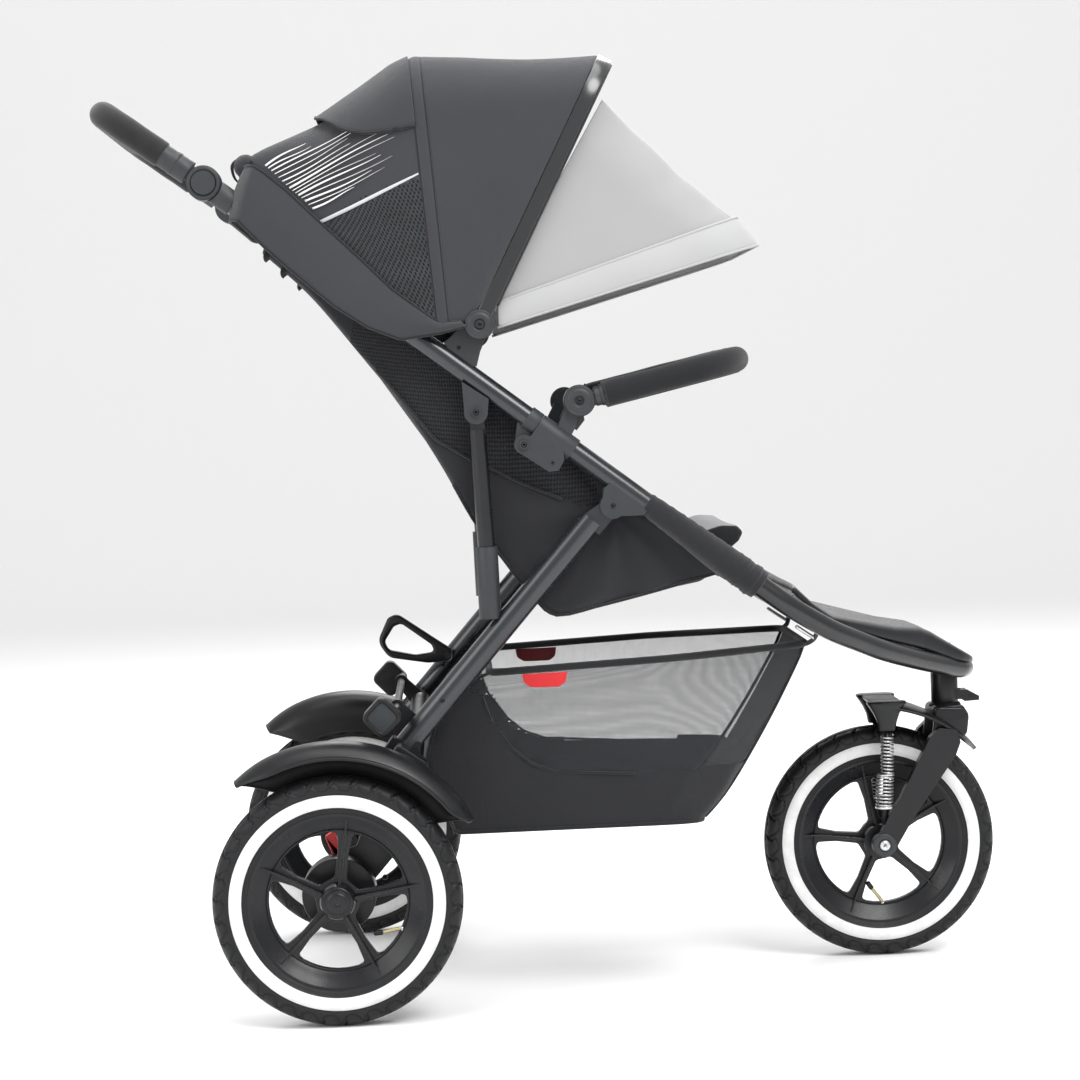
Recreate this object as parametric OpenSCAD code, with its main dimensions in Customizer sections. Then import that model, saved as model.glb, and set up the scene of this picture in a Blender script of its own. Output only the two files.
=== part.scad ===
// Three-wheeled baby stroller with a fold-flat aluminium frame.
// +X is the way it rolls forwards, +Y is its left side, +Z is up, and z = 0 is the ground.
// Places along X are given as a distance ahead of the rear axle.

/* [Wheels] */
// Outside diameter of the tyres
tyre_d = 300; // [280:1:320]
// Width of the tyres
tyre_w = 50; // [40:1:60]
// Rear axle to front axle
wheelbase = 695; // [650:1:740]
// Middle of a rear wheel from the middle of the stroller
rear_wheel_y = 280; // [260:1:300]
// Number of spokes in a wheel
spokes = 5; // [3:1:8]

/* [Frame] */
// Diameter of the main frame tubes
tube_d = 26; // [22:0.5:30]
// Diameter of the rear leg tubes
leg_d = 30; // [24:0.5:34]
// Middle of the side tubes from the middle of the stroller
tube_y = 200; // [180:1:220]
// Slope of the side tubes
tube_slope = 37.8; // [30:0.1:45]
// Diameter of the joint castings round the tubes
casting_d = 30; // [28:0.5:36]

/* [Handle] */
// Height of the handle hubs
hub_h = 1013; // [950:1:1060]
// Reach of the handle from its hubs
handle_reach = 149; // [120:1:180]
// Angle of the handle above the horizontal ahead
handle_tilt = 143.7; // [90:0.1:180]
// Diameter of the foam grips on the handle and the bumper bar
grip_d = 31; // [26:0.5:36]

/* [Hood] */
// Reach of the front bow from its pivot
front_reach = 363; // [330:1:390]
// Reach of the middle bow from its pivot
mid_reach = 332; // [300:1:360]
// Angle of the front bow above the horizontal
front_tilt = 62.7; // [50:0.1:75]
// Angle of the middle bow above the horizontal
mid_tilt = 100.6; // [90:0.1:110]
// Angle of the sun visor's bow above the horizontal
visor_tilt = 17.5; // [10:0.1:30]

/* [Fabric] */
// Thickness of the seat, hood and basket walls
cloth = 3; // [2:0.5:5]
// Half the inside width between the side tubes
seat_half = 182; // [160:1:185]

/* [Hidden] */
$fn = 64;
rear_x = -288;          // puts the origin under the middle of the stroller
tyre_r = tyre_d / 2;
section_r = tyre_w / 2;
axle_h = tyre_r;
tube_r = tube_d / 2;
leg_r = leg_d / 2;
casting_r = casting_d / 2;
grip_r = grip_d / 2;
fit_gap = 0.06;         // radial clearance of a turning fit
side_gap = 1;           // space between plates that turn past each other
rim_r = 106;            // tyre seat
hub_bore_r = 8 + fit_gap;

hub_x = -132;
fold_x = 243;           // fold pivot, below the side tube
fold_h = 685;
leg_top_x = 349;        // rear leg pivot
leg_top_h = 607;
strut_x = 186;          // pivot at the top of the strut
strut_h = 726;
hood_x = 194;           // pivot of the hood bows
hood_h = 832;
bumper_x = 312;         // pivot of the bumper bar
bumper_h = 736;
head_x = 787;           // swivel axis of the front fork
arm_x = 778;            // pivot of the sprung fork arm
arm_h = 284;
lever_x = 812;          // pivot of the swivel lock lever
lever_h = 337;

function side_h(x) = hub_h - (x - hub_x) * tan(tube_slope);
// foot of the fold pivot on the side tube's axis
fold_step = (fold_x - hub_x) * cos(tube_slope) - (fold_h - hub_h) * sin(tube_slope);
split_x = hub_x + fold_step * cos(tube_slope);
straight_end_x = 500;

leg_a = [323, 198, 591];
leg_b = [78, 198, 313];
strut_foot_h = 474;
strut_foot_x = 195;
hood_y = 223;

frame_path = [
  [straight_end_x + 11, tube_y, side_h(straight_end_x + 11)],
  [560, 196, 477],
  [620, 172, 441],
  [690, 125, 411]
];
// the nose lies in one sloping plane that starts at the last point of the side tubes
nose_tilt = 12;
nose_start = frame_path[3];
nose_mid = 78;
nose_r = 47;
run_angle = atan2(nose_start.y, nose_mid) - asin(nose_r / norm([nose_mid, nose_start.y]));
run_end = sqrt(pow(nose_mid, 2) + pow(nose_start.y, 2) - pow(nose_r, 2));

// ---------------------------------------------------------------- helpers

module at_rear() translate([rear_x, 0, 0]) children();

module rod(a, b, r) {
  v = b - a;
  translate(a) rotate([0, acos(v.z / norm(v)), atan2(v.y, v.x)]) cylinder(h = norm(v), r = r);
}

// a tube through a list of points, rounded at its bends
module bent_rod(path, r) {
  for (i = [1:len(path) - 1]) rod(path[i - 1], path[i], r);
  if (len(path) > 2) for (i = [1:len(path) - 2]) translate(path[i]) sphere(r);
}

module in_nose() translate([nose_start.x, 0, nose_start.z]) rotate([0, nose_tilt, 0]) children();

// the straight part of the left nose tube between two distances from its start
module nose_run(a, b, r) in_nose() rod([a * cos(run_angle), nose_start.y - a * sin(run_angle), 0],
  [b * cos(run_angle), nose_start.y - b * sin(run_angle), 0], r);

// a point of the nose bend, at an angle round it from straight ahead
function nose_point(a) = [
  nose_start.x + (nose_mid + nose_r * cos(a)) * cos(nose_tilt),
  nose_r * sin(a),
  nose_start.z - (nose_mid + nose_r * cos(a)) * sin(nose_tilt)
];

// the bent tube from the left side tube's end round the nose to the right one's
module hoop(r) {
  path = concat(frame_path, [for (s = [1:-1:-1]) nose_point(s * (90 - run_angle))],
    [for (i = [len(frame_path) - 1:-1:0]) [frame_path[i].x, -frame_path[i].y, frame_path[i].z]]);
  for (i = [1:len(path) - 1]) hull() {
    translate(path[i - 1]) sphere(r, $fn = 20);
    translate(path[i]) sphere(r, $fn = 20);
  }
}

// a flat plate in the side view, from y0 to y1
module plate(points, y0, y1) translate([0, y1, 0]) rotate([90, 0, 0]) linear_extrude(y1 - y0) polygon(points);

module disc(x, h, r, y0, y1) translate([x, y1, h]) rotate([90, 0, 0]) cylinder(h = y1 - y0, r = r);

// the same thing on the left and on the right side
module both_sides() {
  children();
  mirror([0, 1, 0]) children();
}

module on_side(s) if (s > 0) children(); else mirror([0, 1, 0]) children();

// the left side tube between two places along X
module side_rod(x0, x1, r) rod([x0, tube_y, side_h(x0)], [x1, tube_y, side_h(x1)], r);

// a U of round bar whose arms run along +X from the pivot line
module u_bar(start, reach, half, bend, r) {
  for (s = [-1, 1]) {
    rod([start, s * half, 0], [reach - bend, s * half, 0], r);
    translate([reach - bend, s * (half - bend), 0]) rotate([0, 0, s > 0 ? 0 : -90])
      rotate_extrude(angle = 90) translate([bend, 0]) circle(r);
  }
  rod([reach, bend - half, 0], [reach, half - bend, 0], r);
}

// a U of flat band in the plane of a hood bow
module u_band(start, reach, half, bend, thick, width) {
  translate([0, 0, -width / 2]) linear_extrude(width) intersection() {
    difference() {
      rounded(reach, half, bend);
      rounded(reach - thick, half - thick, bend - thick);
    }
    translate([start, -half]) square([reach - start, 2 * half]);
  }
}

module rounded(reach, half, bend) {
  translate([0, bend - half]) square([reach, 2 * (half - bend)]);
  translate([0, -half]) square([reach - bend, 2 * half]);
  for (s = [-1, 1]) translate([reach - bend, s * (half - bend)]) circle(bend);
}

module hinged(x, h, tilt) translate([x, 0, h]) rotate([0, -tilt, 0]) children();

// ---------------------------------------------------------------- wheels

module tyre(x, y) color([0.09, 0.09, 0.1]) at_rear() translate([x, y, axle_h]) rotate([90, 0, 0])
  rotate_extrude($fn = 128) difference() {
    translate([tyre_r - section_r, 0]) circle(section_r);
    translate([0, -section_r]) square([rim_r, tyre_w]);
  }

module rim(x, y) color([0.16, 0.16, 0.18]) at_rear() translate([x, y, axle_h]) rotate([90, 0, 0]) difference() {
  union() {
    rotate_extrude($fn = 128) {
      translate([84, -14]) square([rim_r - 84, 28]);
      translate([0, -22]) square([20, 44]);
    }
    for (i = [0:spokes - 1]) rotate([0, 0, i * 360 / spokes + 18]) spoke();
  }
  translate([0, 0, -30]) cylinder(h = 60, r = hub_bore_r);
}

module spoke() difference() {
  translate([17, -11, -11]) cube([70, 22, 22]);
  for (s = [-1, 1]) translate([24, -7, s > 0 ? 4 : -12]) cube([58, 14, 8]);
}

module rear_tyre_left() tyre(0, rear_wheel_y);
module rear_tyre_right() tyre(0, -rear_wheel_y);
module front_tyre() tyre(wheelbase, 0);
module rear_rim_left() rim(0, rear_wheel_y);
module rear_rim_right() rim(0, -rear_wheel_y);
module front_rim() rim(wheelbase, 0);

// ---------------------------------------------------------------- lower frame

module side_tube(s) color([0.2, 0.21, 0.23]) at_rear() on_side(s) side_rod(split_x, straight_end_x, tube_r);

module frame_tube_left() side_tube(1);
module frame_tube_right() side_tube(-1);

module front_hoop() color([0.14, 0.14, 0.15]) at_rear() hoop(tube_r);

module head_tube() color([0.12, 0.12, 0.13]) at_rear() {
  difference() {
    union() {
      translate([head_x, 0, 326]) cylinder(h = 40, r = 17.5);
      translate([head_x, 0, 360]) cylinder(h = 44, r = 9.6);
      both_sides() plate([[794, 343], [816, 343], [816, 331], [794, 331]], 9.6, 13);
    }
    translate([head_x, 0, 325]) cylinder(h = 60, r = hub_bore_r);
  }
  disc(lever_x, lever_h, 3, -12, 12);
}

// room for the hoop under the footplate's nose
module hoop_hollow() translate([nose_start.x + 62, -60, 360]) cube([90, 120, 41]);

module footplate() color([0.17, 0.17, 0.18]) at_rear() difference() {
  intersection() {
    plate([[578, 497], [600, 474], [622, 462], [711, 443], [748, 437], [764, 430], [798, 401],
      [790, 392], [735, 408], [690, 420], [615, 448], [572, 484]], -200, 200);
    linear_extrude(600) polygon([[560, -186], [640, -156], [700, -112], [760, -62], [800, -26],
      [800, 26], [760, 62], [700, 112], [640, 156], [560, 186]]);
  }
  both_sides() {
    bent_rod(frame_path, tube_r + 0.02);
    translate(nose_start) sphere(tube_r + 0.02);
    nose_run(0, run_end, tube_r + 0.02);
  }
  hoop_hollow();
  translate([head_x, 0, 360]) cylinder(h = 44, r = 9.62);
}

module fold_sleeves() color([0.25, 0.26, 0.27]) at_rear() both_sides() {
  difference() {
    union() {
      side_rod(split_x, split_x + 42, casting_r);
      plate([[fold_x - 9, fold_h + 8], [fold_x - 7, fold_h - 9], [272, 651], [284, 652], [291, 664],
        [291, 690], [262, 707], [250, 694]], 207, 213);
      disc(fold_x, fold_h, 12, 207, 213);
    }
    side_rod(split_x - 5, split_x + 60, tube_r + 0.01);
  }
  disc(fold_x, fold_h, 4, 194, 208);
  disc(fold_x, fold_h, 6, 213, 216);
}

module leg_brackets() color([0.22, 0.23, 0.24]) at_rear() both_sides() difference() {
  union() {
    for (y = [[184, 189.5], [206.5, 212]]) {
      plate([[335, 600], [338, 628], [352, 640], [384, 616], [394, 602], [385, 594], [360, 594]], y[0], y[1]);
      disc(leg_top_x, leg_top_h, 16, y[0], y[1]);
    }
    plate([[374, 603], [377, 622], [400, 602], [385, 594]], 189, 207);
    disc(leg_top_x, leg_top_h, 4, 184, 212);
  }
  side_rod(split_x, 420, tube_r + 0.02);
}

module bumper_brackets() color([0.25, 0.26, 0.27]) at_rear() both_sides() difference() {
  union() {
    plate([[288, 716], [300, 738], [316, 728], [318, 712], [308, 700]], 192, 203);
    disc(bumper_x, bumper_h, 14, 192, 203);
    disc(bumper_x, bumper_h, 4, 192, 217);
  }
  side_rod(split_x, 420, casting_r + 0.02);
}

module seat_base() color([0.13, 0.13, 0.14]) at_rear() difference() {
  plate([[209, side_h(209) - 4], [480, side_h(480) - 4], [500, 520], [484, 506], [276, 470], [250, 491], [209, 546]],
    -seat_half, seat_half);
  plate([[200, side_h(200) + 9], [520, side_h(520) + 9], [520, 532], [484, 506 + cloth], [277, 470 + cloth],
    [252, 493 + cloth], [200, 561 + cloth]], cloth - seat_half, seat_half - cloth);
}

module seat_pad() color([0.12, 0.12, 0.13]) at_rear()
  plate([[262, 500], [276, 474], [466, 507], [480, 520], [476, 538], [276, 513]], -165, 165);

module seat_front() color([0.2, 0.2, 0.21]) at_rear() {
  plate([[486, 516], [502, 523], [520, 560], [516, 572], [504, 582], [484, 584], [494, 570]], -165, 165);
  both_sides() difference() {
    side_rod(412, 488, 18);
    side_rod(400, straight_end_x + 10, tube_r + 0.05);
    translate([350, 0, 400]) cube([200, seat_half + 0.5, 400]);
  }
}

module lap_straps() color([0.1, 0.1, 0.1]) at_rear() {
  both_sides() plate([[300, 523], [330, 560], [352, 562], [352, 557], [334, 554], [306, 519]], 40, 165);
  plate([[352, 527], [356, 555], [360, 555], [362, 528]], -14, 14);
}

module harness_buckle() color([0.08, 0.08, 0.08]) at_rear() difference() {
  plate([[353, 557], [353, 574], [371, 574], [371, 557]], -24, 24);
  translate([362, 0, 570]) cylinder(h = 10, r = 9 + fit_gap);
}

module buckle_button() color([0.5, 0.06, 0.06]) at_rear() translate([362, 0, 571]) cylinder(h = 5, r = 9);

module basket() color([0.15, 0.15, 0.16]) at_rear() difference() {
  intersection() {
    plate([[195, 405], [560, 414], [596, 422], [549, 337], [490, 254], [451, 212], [438, 206], [141, 206],
      [108, 290], [124, 322]], -168, 168);
    linear_extrude(600) polygon([[90, -168], [420, -168], [600, -118], [600, 118], [420, 168], [90, 168]]);
  }
  intersection() {
    plate([[199, 420], [594, 440], [590, 422], [546, 339], [487, 256], [449, 215], [437, 206 + cloth],
      [143, 206 + cloth], [112, 290], [127, 322]], cloth - 168, 168 - cloth);
    linear_extrude(600) polygon([[90, cloth - 168], [419, cloth - 168], [598, cloth - 118],
      [598, 118 - cloth], [419, 168 - cloth], [90, 168 - cloth]]);
  }
}

// ---------------------------------------------------------------- upper frame

module upper_tube(s) color([0.2, 0.21, 0.23]) at_rear() on_side(s)
  side_rod(hub_x + 24 * cos(tube_slope), split_x - 0.5, tube_r);

module upper_tube_left() upper_tube(1);
module upper_tube_right() upper_tube(-1);

module fold_ears() color([0.25, 0.26, 0.27]) at_rear() both_sides() difference() {
  union() {
    side_rod(split_x - 13, split_x - 0.5, casting_r);
    plate([[fold_x - 11, fold_h + 3], [fold_x - 7, fold_h + 28], [fold_x + 8, fold_h + 26],
      [fold_x + 9, fold_h + 8]], 195, 206);
    disc(fold_x, fold_h, 11.5, 195, 206);
  }
  side_rod(split_x - 30, split_x + 5, tube_r + 0.01);
  disc(fold_x, fold_h, 4 + fit_gap, 190, 210);
}

module strut_plates() color([0.25, 0.26, 0.27]) at_rear() both_sides() {
  difference() {
    union() for (y = [[188, 193.5], [206.5, 212]]) {
      plate([[170, 764], [172, 724], [200, 722], [202, 742]], y[0], y[1]);
      disc(strut_x, strut_h, 14.5, y[0], y[1]);
    }
    side_rod(100, split_x - 14, tube_r + 0.02);
  }
  disc(strut_x, strut_h, 4, 188, 212);
  disc(strut_x, strut_h, 6, 212, 214.5);
}

module hood_clips() color([0.22, 0.23, 0.24]) at_rear() both_sides() difference() {
  union() {
    plate([[150, 812], [158, 818], [182, 840], [206, 826], [194, 800], [189, 782], [170, 782]], 192, 206);
    disc(hood_x, hood_h, 14, 192, 206);
    disc(hood_x, hood_h, 5, 192, 227);
  }
  side_rod(100, split_x - 14, tube_r + 0.02);
}

module handle_hubs() color([0.25, 0.26, 0.27]) at_rear() both_sides() difference() {
  union() {
    disc(hub_x, hub_h, 21, 187, 200.5);
    side_rod(hub_x + 12, hub_x + 34, casting_r);
  }
  side_rod(hub_x + 24 * cos(tube_slope) - 0.02, hub_x + 60, tube_r + 0.01);
  disc(hub_x, hub_h, 22, 200.5, 220);
}

module seat_back() color([0.14, 0.14, 0.15]) at_rear() difference() {
  plate([[207, side_h(207) - 4], [207, 549], [179, 588], [140, 663], [47, 800], [-11, 874], [-67, 927],
    [-58, side_h(-58) - 4]], -seat_half, seat_half);
  plate([[220, side_h(220) + 9], [220, 549 + cloth], [179 + cloth, 588 + cloth], [143, 665], [50, 802],
    [-8, 876], [-60, 926], [-64, side_h(-64) + 9]], cloth - seat_half, seat_half - cloth);
}

module hood_rear() color([0.13, 0.13, 0.14]) at_rear() difference() {
  plate([[120, 1159], [116, 1176], [104, 1176], [-7, 1116], [-61, 1052], [-101, 970], [-67, 930], [-9, 884],
    [74, 826], [126, 860]], -hood_y - 1, hood_y + 1);
  plate([[130, 1172 - cloth], [105, 1176 - cloth], [-5, 1116 - cloth], [-58, 1050], [-97, 971], [-120, 800],
    [150, 780], [140, 1000]], cloth - hood_y - 1, hood_y + 1 - cloth);
  both_sides() {
    disc(hood_x, hood_h, 50, 200, 240);
    side_rod(hub_x, 20, tube_r + side_gap);
  }
}

// ---------------------------------------------------------------- handle

foam_start = 64;

module handle_bar() color([0.2, 0.21, 0.23]) at_rear()
  hinged(hub_x, hub_h, handle_tilt) u_bar(24, handle_reach, tube_y, 60, 12);

module handle_grip() color([0.1, 0.1, 0.11]) at_rear() hinged(hub_x, hub_h, handle_tilt) difference() {
  u_bar(foam_start, handle_reach, tube_y, 60, grip_r);
  u_bar(foam_start - 5, handle_reach, tube_y, 60, 12.02);
}

module hub_covers() color([0.25, 0.26, 0.27]) at_rear() both_sides() difference() {
  union() {
    disc(hub_x, hub_h, 21, 201.5, 214);
    hinged(hub_x, hub_h, handle_tilt) {
      rod([22.5, tube_y, 0], [42, tube_y, 0], casting_r);
      translate([15, 203, -10]) cube([10, 8, 20]);
    }
  }
  hinged(hub_x, hub_h, handle_tilt) rod([23.9, tube_y, 0], [50, tube_y, 0], 12.02);
  disc(hub_x, hub_h, 14.5 + fit_gap, 204, 220);
}

module hub_button(s) color([0.12, 0.12, 0.13]) at_rear() on_side(s) disc(hub_x, hub_h, 14.5, 208.5, 218);

module hub_button_left() hub_button(1);
module hub_button_right() hub_button(-1);

// ---------------------------------------------------------------- backrest

module back_pad() color([0.12, 0.12, 0.13]) at_rear()
  plate([[-58, 930], [-5, 880], [53, 806], [147, 668], [186, 593], [205, 573], [222, 581], [207, 604],
    [168, 680], [72, 822], [12, 895], [-40, 944]], -165, 165);

module shoulder_straps() color([0.1, 0.1, 0.1]) at_rear() for (s = [-1, 1])
  plate([[72.5, 823.2], [169, 681.5], [340, 563], [352, 566], [352, 570], [336, 566], [172, 687], [76, 827]],
    s * 40 - 16, s * 40 + 16);

// ---------------------------------------------------------------- rear frame

module rear_legs() color([0.2, 0.21, 0.23]) at_rear() {
  both_sides() difference() {
    union() {
      rod(leg_a, leg_b, leg_r);
      plate([[305, 592], [344, 617], [356, 599], [331, 572]], 190.2, 205.8);
      disc(leg_top_x, leg_top_h, 11, 190.2, 205.8);
    }
    disc(leg_top_x, leg_top_h, 4 + fit_gap, 180, 220);
  }
  disc(loop_x, loop_h, 4, 161, 190);
}

module cross_tube() color([0.14, 0.14, 0.15]) at_rear() difference() {
  union() {
    disc(100, 338, 12, -198, 198);
    both_sides() {
      plate([[brake_x - 8, brake_h - 2], [brake_x + 3, brake_h + 8], [112, 342], [94, 328]], 146, 156);
      disc(brake_x, brake_h, 9, 146, 156);
    }
  }
  both_sides() {
    rod(leg_a, leg_b, leg_r + 0.02);
    disc(brake_x, brake_h, 5 + fit_gap, 140, 160);
  }
}

module axle_carriers() color([0.1, 0.1, 0.11]) at_rear() both_sides() {
  difference() {
    union() {
      plate([[58, 318], [70, 334], [104, 326], [104, 290], [84, 208], [22, 138], [-18, 150], [10, 176],
        [56, 282]], 188, 212);
      plate([[-6, 186], [0, 196], [24, 204], [14, 176]], 207, 212);
    }
    rod(leg_a, leg_b, leg_r + 0.02);
  }
  disc(0, brake_lever_h, 3, 189, 208);
  disc(0, axle_h, 8, 160, rear_wheel_y + 22);
}

module fenders() color([0.2, 0.21, 0.23]) at_rear() both_sides() {
  translate([0, 280, axle_h]) rotate([90, 0, 0]) rotate_extrude(angle = 98, start = 30, $fn = 96)
    difference() {
      translate([156, 0]) circle(34);
      translate([154, 0]) circle(30);
      translate([100, -40]) square([62, 80]);
    }
  plate([[70, 320], [78, 330], [112, 306], [110, 292], [92, 290]], 198 + leg_r, 250);
}

module brake_drums() color([0.12, 0.12, 0.13]) at_rear() both_sides() difference() {
  union() {
    disc(0, axle_h, 33, 164, 187.9);
    disc(0, axle_h, 45, 212.1, 250);
  }
  disc(0, axle_h, 8, 150, 260);
}

// ---------------------------------------------------------------- struts

module struts() color([0.18, 0.18, 0.2]) at_rear() both_sides() difference() {
  union() {
    disc(strut_x, strut_h, 10, 194.2, 205.8);
    plate([[177, 722], [195, 722], [197, 700], [179, 700]], 194.2, 205.8);
    rod([187, tube_y, 705], [193.3, tube_y, 562.3], 10.5);
  }
  disc(strut_x, strut_h, 4 + fit_gap, 180, 220);
}

module strut_sleeves() color([0.25, 0.26, 0.27]) at_rear() both_sides() difference() {
  rod([193.3, tube_y, 562], [strut_foot_x, tube_y, strut_foot_h], 13.5);
  rod(leg_a, leg_b, leg_r + side_gap);
}

// ---------------------------------------------------------------- front fork

module fork_crown() color([0.12, 0.12, 0.13]) at_rear() {
  translate([head_x, 0, 320]) cylinder(h = 62, r = 8);
  difference() {
    union() {
      difference() {
        plate([[764, 303], [768, 324], [806, 324], [812, 312], [811, 292], [798, 303]], -30.5, 30.5);
        disc(wheelbase, axle_h, 180.5, -40, 40);
      }
      both_sides() {
        plate([[764, 292], [768, 324], [800, 322], [802, 292], [790, 276], [772, 270], [762, 278]], 30, 37);
        plate([[684, 334], [686, 340], [728, 338], [776, 323], [774, 302], [722, 322], [716, 300], [694, 300]],
          36.5, 53);
      }
    }
    both_sides() disc(arm_x, arm_h, 6 + fit_gap, 20, 60);
  }
}

module front_fender() color([0.17, 0.17, 0.18]) at_rear() translate([wheelbase, 0, axle_h]) rotate([90, 0, 0])
  rotate_extrude(angle = 54, start = 41, $fn = 96) translate([176, -29.5]) square([4, 59]);

module fork_blades() color([0.13, 0.13, 0.14]) at_rear() {
  both_sides() difference() {
    union() {
      plate([[758, 288], [770, 299], [792, 296], [797, 280], [790, 262], [769, 233], [731, 180], [708, 142],
        [684, 146], [690, 164], [706, 196], [716, 208]], 38, 52);
      disc(wheelbase, axle_h, 15.6, 38, 52);
      disc(arm_x, arm_h, 14, 38, 52);
    }
    disc(wheelbase, axle_h, 8, 30, 60);
  }
  both_sides() disc(arm_x, arm_h, 6, 31, 52);
}

module front_axle() color([0.6, 0.6, 0.62]) at_rear() union() {
  disc(wheelbase, axle_h, 8, -54, 54);
  both_sides() disc(wheelbase, axle_h, 22, 23, 25);
}

module fork_springs() color([0.05, 0.05, 0.05]) at_rear() both_sides() rod([703, 45, 299], [699, 45, 198], 7);

module swivel_lever() color([0.1, 0.1, 0.11]) at_rear() difference() {
  union() {
    plate([[808, 341], [815, 343], [831, 334], [831, 328.5], [812, 327.5], [808, 331]], -9, 9);
    disc(lever_x, lever_h, 6, -9, 9);
  }
  disc(lever_x, lever_h, 3 + fit_gap, -12, 12);
}

// ---------------------------------------------------------------- hood

module bow_ring(y0, y1, r) both_sides() translate([hood_x, 0, hood_h]) rotate([0, 180, 0]) difference() {
  disc(0, 0, r, y0, y1);
  disc(0, 0, 5 + fit_gap, y0 - 1, y1 + 1);
}

module mid_bow() color([0.11, 0.11, 0.12]) at_rear() {
  hinged(hood_x, hood_h, mid_tilt) u_band(8, mid_reach, 216, 70, 4, 13);
  bow_ring(212, 216, 13);
}

module front_bow() color([0.16, 0.16, 0.17]) at_rear() {
  hinged(hood_x, hood_h, front_tilt) u_band(8, front_reach, hood_y, 70, 6, 18);
  bow_ring(217, hood_y, 18.5);
}

module hood_front() color([0.13, 0.13, 0.14]) at_rear() difference() {
  plate([[141, 870], [127, 1157], [133, 1174], [262, 1170], [366, 1162], [352, 1138], [220, 880], [204, 858]],
    -hood_y + 0.5, hood_y - 0.5);
  plate([[120, 860], [120, 1174 - cloth], [262, 1170 - cloth], [380, 1161 - cloth], [380, 1100], [230, 840]],
    cloth - hood_y + 0.5, hood_y - cloth - 0.5);
  hinged(hood_x, hood_h, front_tilt) u_band(0, front_reach + 30, hood_y + 5, 90, 60, 20);
}

module visor_bow() color([0.62, 0.62, 0.62]) at_rear() {
  hinged(hood_x, hood_h, visor_tilt) u_band(8, front_reach - 9, 211, 70, 4, 12);
  bow_ring(206.5, 211.5, 12);
}

module visor_panel() color([0.75, 0.75, 0.75, 0.5]) at_rear() difference() {
  plate([[232, 863], [368, 1112], [392, 1090], [446, 1036], [492, 995], [530, 951], [226, 853]], -206.5, 206.5);
  plate([[200, 800], [236, 880], [366, 1112 - cloth], [390, 1088 - cloth], [444, 1034 - cloth],
    [490, 993 - cloth], [540, 938], [600, 800]], cloth - 206.5, 206.5 - cloth);
}

// ---------------------------------------------------------------- bumper bar

bumper_tilt = 12.7;
bumper_reach = 204;
bumper_half = 205;

module bumper_bar() color([0.45, 0.45, 0.47]) at_rear() {
  hinged(bumper_x, bumper_h, bumper_tilt) u_bar(19, bumper_reach, bumper_half, 60, 9);
  both_sides() difference() {
    union() {
      disc(bumper_x, bumper_h, 19.5, 204, 214);
      hinged(bumper_x, bumper_h, bumper_tilt) translate([15, 204, -8]) cube([8, 8, 16]);
    }
    disc(bumper_x, bumper_h, 4 + fit_gap, 200, 220);
  }
}

module bumper_grip() color([0.1, 0.1, 0.11]) at_rear() hinged(bumper_x, bumper_h, bumper_tilt) difference() {
  u_bar(34, bumper_reach, bumper_half, 60, grip_r);
  u_bar(30, bumper_reach, bumper_half, 60, 9.02);
}

// ---------------------------------------------------------------- brake and fold controls

brake_x = 76;          // axis of the brake pedal bar
brake_h = 365;
brake_lever_h = 188;    // pivots of the levers on the drums
loop_x = 140;           // pivot of the fold release loop
loop_h = 396;

module brake_pedal() color([0.17, 0.17, 0.18]) at_rear() {
  both_sides() translate([60, 230, 362]) rotate([0, 45, 0]) translate([-19, -14, -19]) cube([38, 28, 38]);
  disc(brake_x, brake_h, 5, -226, 226);
}

module brake_levers() color([0.75, 0.1, 0.1]) at_rear() both_sides() difference() {
  union() {
    plate([[-17, 214], [-6, 221], [6, 190], [-6, 186]], 190, 206);
    disc(0, brake_lever_h, 7, 190, 206);
  }
  disc(0, brake_lever_h, 3 + fit_gap, 180, 220);
}

module fold_loop() color([0.1, 0.1, 0.11]) at_rear() difference() {
  union() {
    plate([[60, 450], [73, 456], [131, 415], [143, 405], [140, 388], [112, 388], [60, 397], [46, 420]], 163, 175);
    disc(loop_x, loop_h, 9, 163, 175);
  }
  plate([[68, 438], [79, 441], [117, 411], [121, 404], [96, 400], [58, 409]], 160, 180);
  disc(loop_x, loop_h, 4 + fit_gap, 160, 180);
}

frame_tube_left();
frame_tube_right();
front_hoop();
head_tube();
footplate();
fold_sleeves();
leg_brackets();
bumper_brackets();
seat_base();
seat_pad();
seat_front();
lap_straps();
harness_buckle();
buckle_button();
basket();
upper_tube_left();
upper_tube_right();
fold_ears();
strut_plates();
hood_clips();
handle_hubs();
seat_back();
hood_rear();
handle_bar();
handle_grip();
hub_covers();
hub_button_left();
hub_button_right();
back_pad();
shoulder_straps();
rear_legs();
cross_tube();
axle_carriers();
fenders();
brake_drums();
rear_tyre_left();
rear_rim_left();
rear_tyre_right();
rear_rim_right();
struts();
strut_sleeves();
fork_crown();
front_fender();
fork_blades();
front_axle();
fork_springs();
front_tyre();
front_rim();
swivel_lever();
mid_bow();
front_bow();
hood_front();
visor_bow();
visor_panel();
bumper_bar();
bumper_grip();
brake_pedal();
brake_levers();
fold_loop();
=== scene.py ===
import bmesh
import bpy
import math
import numpy as np
from mathutils import Matrix, Vector


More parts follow.
